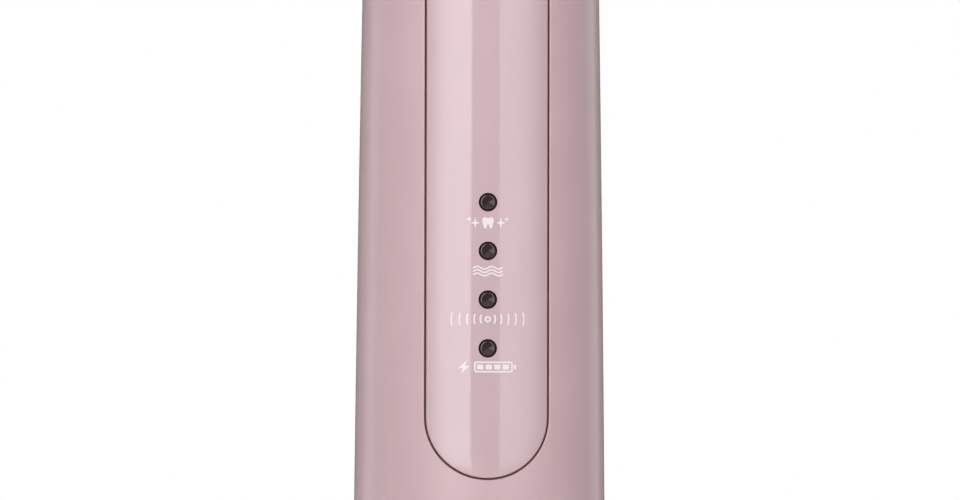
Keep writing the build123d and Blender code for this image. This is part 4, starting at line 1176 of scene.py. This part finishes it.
# One material for each of the record's slots.
finish = {
    "housing_pink": moulded("satin_pink", (0.475, 0.334, 0.357), 0.46, 0.11, 0.9, 0.02,
                            Specular_IOR_Level=0.38, Coat_Weight=1.0, Coat_IOR=1.2, Coat_Roughness=0.2),
    "base_grey": moulded("moulded_grey", (0.36, 0.345, 0.35), 0.55, 0.16, 9.0),
    "inner_white": moulded("inner_white", (0.72, 0.71, 0.69), 0.45, 0.2, 3.0),
    "inner_black": moulded("inner_black", (0.02, 0.02, 0.022), 0.5, 0.12, 4.0, 0.15),
    "lamp_white": moulded("lamp_resin", (0.78, 0.76, 0.66), 0.3, 0.2, 1.0),
    "gasket_brown": rubber("brown_rubber", (0.10, 0.028, 0.02), 0.5),
    "rubber_dark": rubber("dark_rubber", (0.03, 0.027, 0.028), 0.7),
    "steel": metal("plain_steel", (0.55, 0.55, 0.56), 0.37, (1, 1, 0.12)),
    "collar_metal": metal("rose_chrome", (0.83, 0.56, 0.52), 0.07, (1, 1, 6), 0.05, 0.03),
    "bearing_bronze": metal("sintered_bronze", (0.42, 0.27, 0.12), 0.45, depth=3.0, spread=0.2),
    "magnet_nickel": metal("nickel_plate", (0.6, 0.57, 0.5), 0.16),
    "lead_insulation": rubber("lead_sleeve", (0.5, 0.03, 0.025), 0.45),
    "panel_pink": glossy("gloss_pink", (0.467, 0.341, 0.364), 0.055, (7.0, 0.015), (3.0, 0.2),
                         (2.4, 0.5, 1.0), (0.5, 0.03)),
    "smoked_window": glossy("smoked_lens", (0.022, 0.007, 0.010), 0.09, (0.5, 0.12), (0.4, 0.3),
                            (0.6, 0.3, 1.0), IOR=1.58),
    "head_white": glossy("white_gloss", (0.62, 0.615, 0.605), 0.20, (6.0, 0.015), (2.0, 0.15),
                         (3.0, 1.5, 1.0), Coat_Weight=0.2),
    "ring_rose": glossy("deep_rose", (0.42, 0.13, 0.17), 0.22, (2.0, 0.05), (1.0, 0.2), (0.15, 0.8),
                        Coat_Weight=0.2),
    "bristle_white": nylon("bristle_white_nylon", (0.84, 0.84, 0.82)),
    "bristle_rose": nylon("bristle_rose_nylon", (0.72, 0.30, 0.37)),
    "copper_wire": copper_winding(),
    "ferrite": glossy("ferrite", (0.05, 0.048, 0.05), 0.5, (0.8, 0.25), (0.8, 0.2), (0.15, 8.0, 3.0)),
    "board_green": circuit_board(),
    "cell_wrap": shrink_wrap(),
    "ink": glossy("white_ink", (0.66, 0.60, 0.62), 0.4, (0.5, 0.02), (0.3, 0.15), (0.05, 1.0)),
}
for part in frame["record"]["subparts"]:
    mesh = frame["nodes"][part["node"]].data
    mesh.materials.clear()
    mesh.materials.append(finish[part["material_slot"]])


# ---- Pieces


def build(skin, name, slot, body, *nodes, lift=SEAT):
    return skin.make(name, finish[slot], body, nodes, slot, lift)


build(handle_housing(), "handle_housing", "housing_pink", "handle", "handle_shell")
build(foot_cap(), "foot_cap", "housing_pink", "handle", "base_cap")
build(front_panel(), "front_panel", "panel_pink", "handle", "control_panel")
build(seam_gasket(), "seam_gasket", "gasket_brown", "handle", "panel_gasket")
build(neck_ring(), "neck_ring", "collar_metal", "handle", "neck_collar")
build(button_cap(), "button_cap", "panel_pink", "power_button", "power_button")
for kind, height in LIGHT_HEIGHTS.items():
    build(lens_face(height), "lens_" + kind, "smoked_window", "handle", kind + "_light_pipe")

MARKS = {"clean": (marks_clean, 2.27), "soft": (marks_soft, 2.28), "massage": (marks_massage, 2.2),
         "charge": (marks_charge, 2.1)}
for kind, (draw, below) in MARKS.items():
    middle = (0, LIGHT_HEIGHTS[kind] - below)
    skin = printed(draw(), lambda flat: flank_point(flat + middle))
    skin.make("mark_" + kind, finish["ink"], "handle", lift=SEAT)
printed(marks_power(), on_button).make("mark_power", finish["ink"], "power_button", lift=SEAT)

build(puck_housing(), "puck_housing", "housing_pink", "charger", "charger_top_shell", lift=0.0)
build(brush_stem(), "brush_stem", "head_white", "brush_head", "brush_neck")
build(ring_band(), "ring_band", "ring_rose", "brush_head", "identity_ring")
build(filaments(False, 7), "bristles_outer", "bristle_white", "brush_head", "outer_tufts")
build(filaments(True, 11), "bristles_inner", "bristle_rose", "brush_head", "inner_tufts")


# ---- Studio


CAMERA_TURN = math.radians(-3.73)


def stage_piece(name, points, faces, material, attribute=None):
    mesh = bpy.data.meshes.new(name)
    mesh.from_pydata(points, [], faces)
    if attribute:
        mesh.attributes.new("fade", "FLOAT", "POINT").data.foreach_set("value", attribute)
    mesh.materials.append(material)
    piece = bpy.data.objects.new(name, mesh)
    bpy.context.scene.collection.objects.link(piece)
    return piece


def softbox(name, start, stop, power, soft_start, soft_stop, low=-0.35, high=1.25):
    """A tall curved light panel round the object, between two angles seen from above, counted from the
    camera's side, that fades towards its edges."""
    distance, steps = 0.9, 48
    angles = np.linspace(start, stop, steps + 1)
    rising = smooth((angles - start) / soft_start) if soft_start else np.ones(steps + 1)
    falling = smooth((stop - angles) / soft_stop) if soft_stop else np.ones(steps + 1)
    turn = np.radians(angles) + CAMERA_TURN
    points, fade = [], []
    for z in (low, high):
        points += [(distance * math.sin(a), -distance * math.cos(a), z) for a in turn]
        fade += list(rising * falling)
    faces = [(k, k + 1, steps + 2 + k, steps + 1 + k) for k in range(steps)]
    material = bpy.data.materials.new(name)
    tree = new_tree(material)
    fader = new_node(tree, "Attribute", attribute_name="fade").outputs["Fac"]
    strength = new_node(tree, "Math", {0: fader, 1: power}, operation="MULTIPLY").outputs[0]
    glow = new_node(tree, "Emission", {"Strength": strength}).outputs[0]
    new_node(tree, "OutputMaterial", {"Surface": glow})
    panel = stage_piece(name, points, faces, material, fade)
    panel.visible_camera = panel.visible_shadow = False


def studio_floor():
    """A pale table top that fades out well clear of the object."""
    radius, fade_start, fade_stop = 0.56, 0.28, 0.54
    f = Finish("table_top", (0.86, 0.855, 0.85), 0.45).mottle(60.0, 0.01).rough(30.0, 0.1)
    split = f.new("SeparateXYZ", {0: f.where}).outputs
    level = f.new("CombineXYZ", {"X": split["X"], "Y": split["Y"]}).outputs[0]
    away = f.new("VectorMath", {0: level}, operation="LENGTH").outputs["Value"]
    f.feed(f.between(away, 1, 0, fade_start, fade_stop), "Alpha")
    points = [(radius * math.sin(a), -radius * math.cos(a), 0) for a in full_turn(96)]
    stage_piece("floor", points, [tuple(range(96))], f.done())


def world_light(room, backdrop, ceiling):
    """White for the camera; for everything else a dim room, darker behind the object and lighter above it."""
    world = bpy.data.worlds.new("studio")
    bpy.context.scene.world = world
    tree, white = new_tree(world), (1, 1, 1, 1)
    where = new_node(tree, "TexCoord").outputs["Generated"]
    split = new_node(tree, "SeparateXYZ", {0: where}).outputs

    def graded_along(axis, start, stop, low, high):
        return new_node(tree, "MapRange", {"From Min": start, "From Max": stop, "To Min": low, "To Max": high,
                                           "Value": split[axis]}).outputs[0]

    walls, above = graded_along("Y", -0.05, 0.45, room, backdrop), graded_along("Z", 0.1, 1.0, 0.0, ceiling)
    strength = new_node(tree, "Math", {0: walls, 1: above}, operation="ADD").outputs[0]
    unseen = new_node(tree, "Background", {"Color": white, "Strength": strength}).outputs[0]
    seen = new_node(tree, "Background", {"Color": white}).outputs[0]
    is_seen = new_node(tree, "LightPath").outputs["Is Camera Ray"]
    mix = new_node(tree, "MixShader", {0: is_seen, 1: unseen, 2: seen}).outputs[0]
    new_node(tree, "OutputWorld", {"Surface": mix})


softbox("softbox_left", -60, -7.2, 4.2, 34, 2.0)
softbox("softbox_right", 17.2, 70, 2.3, 2.0, 35)
softbox("rim_left", -134, -111, 1.3, 5, 4)
softbox("rim_right", 123, 148, 1.1, 4, 6)
softbox("softbox_back", 146, 214, 3.4, 12, 12, 0.32, 1.25)
studio_floor()
world_light(0.24, 0.12, 0.35)

camera = bpy.data.objects.new("camera", bpy.data.cameras.new("camera"))
bpy.context.scene.collection.objects.link(camera)
bpy.context.scene.camera = camera
CAMERA_AWAY, CAMERA_HEIGHT, CAMERA_ROLL = 2.0, 0.0645, math.radians(0.17)
VIEW_WIDTH = 0.1091
camera.data.sensor_width = 36.0
camera.data.lens = camera.data.sensor_width * CAMERA_AWAY / VIEW_WIDTH
camera.matrix_world = (Matrix.Rotation(CAMERA_TURN, 4, "Z")
                       @ Matrix.Translation((0, -CAMERA_AWAY, CAMERA_HEIGHT))
                       @ Matrix.Rotation(math.pi / 2, 4, "X") @ Matrix.Rotation(CAMERA_ROLL, 4, "Z"))
camera.data.clip_start, camera.data.clip_end = 0.02, 20.0
bpy.context.scene.view_settings.view_transform = "Standard"
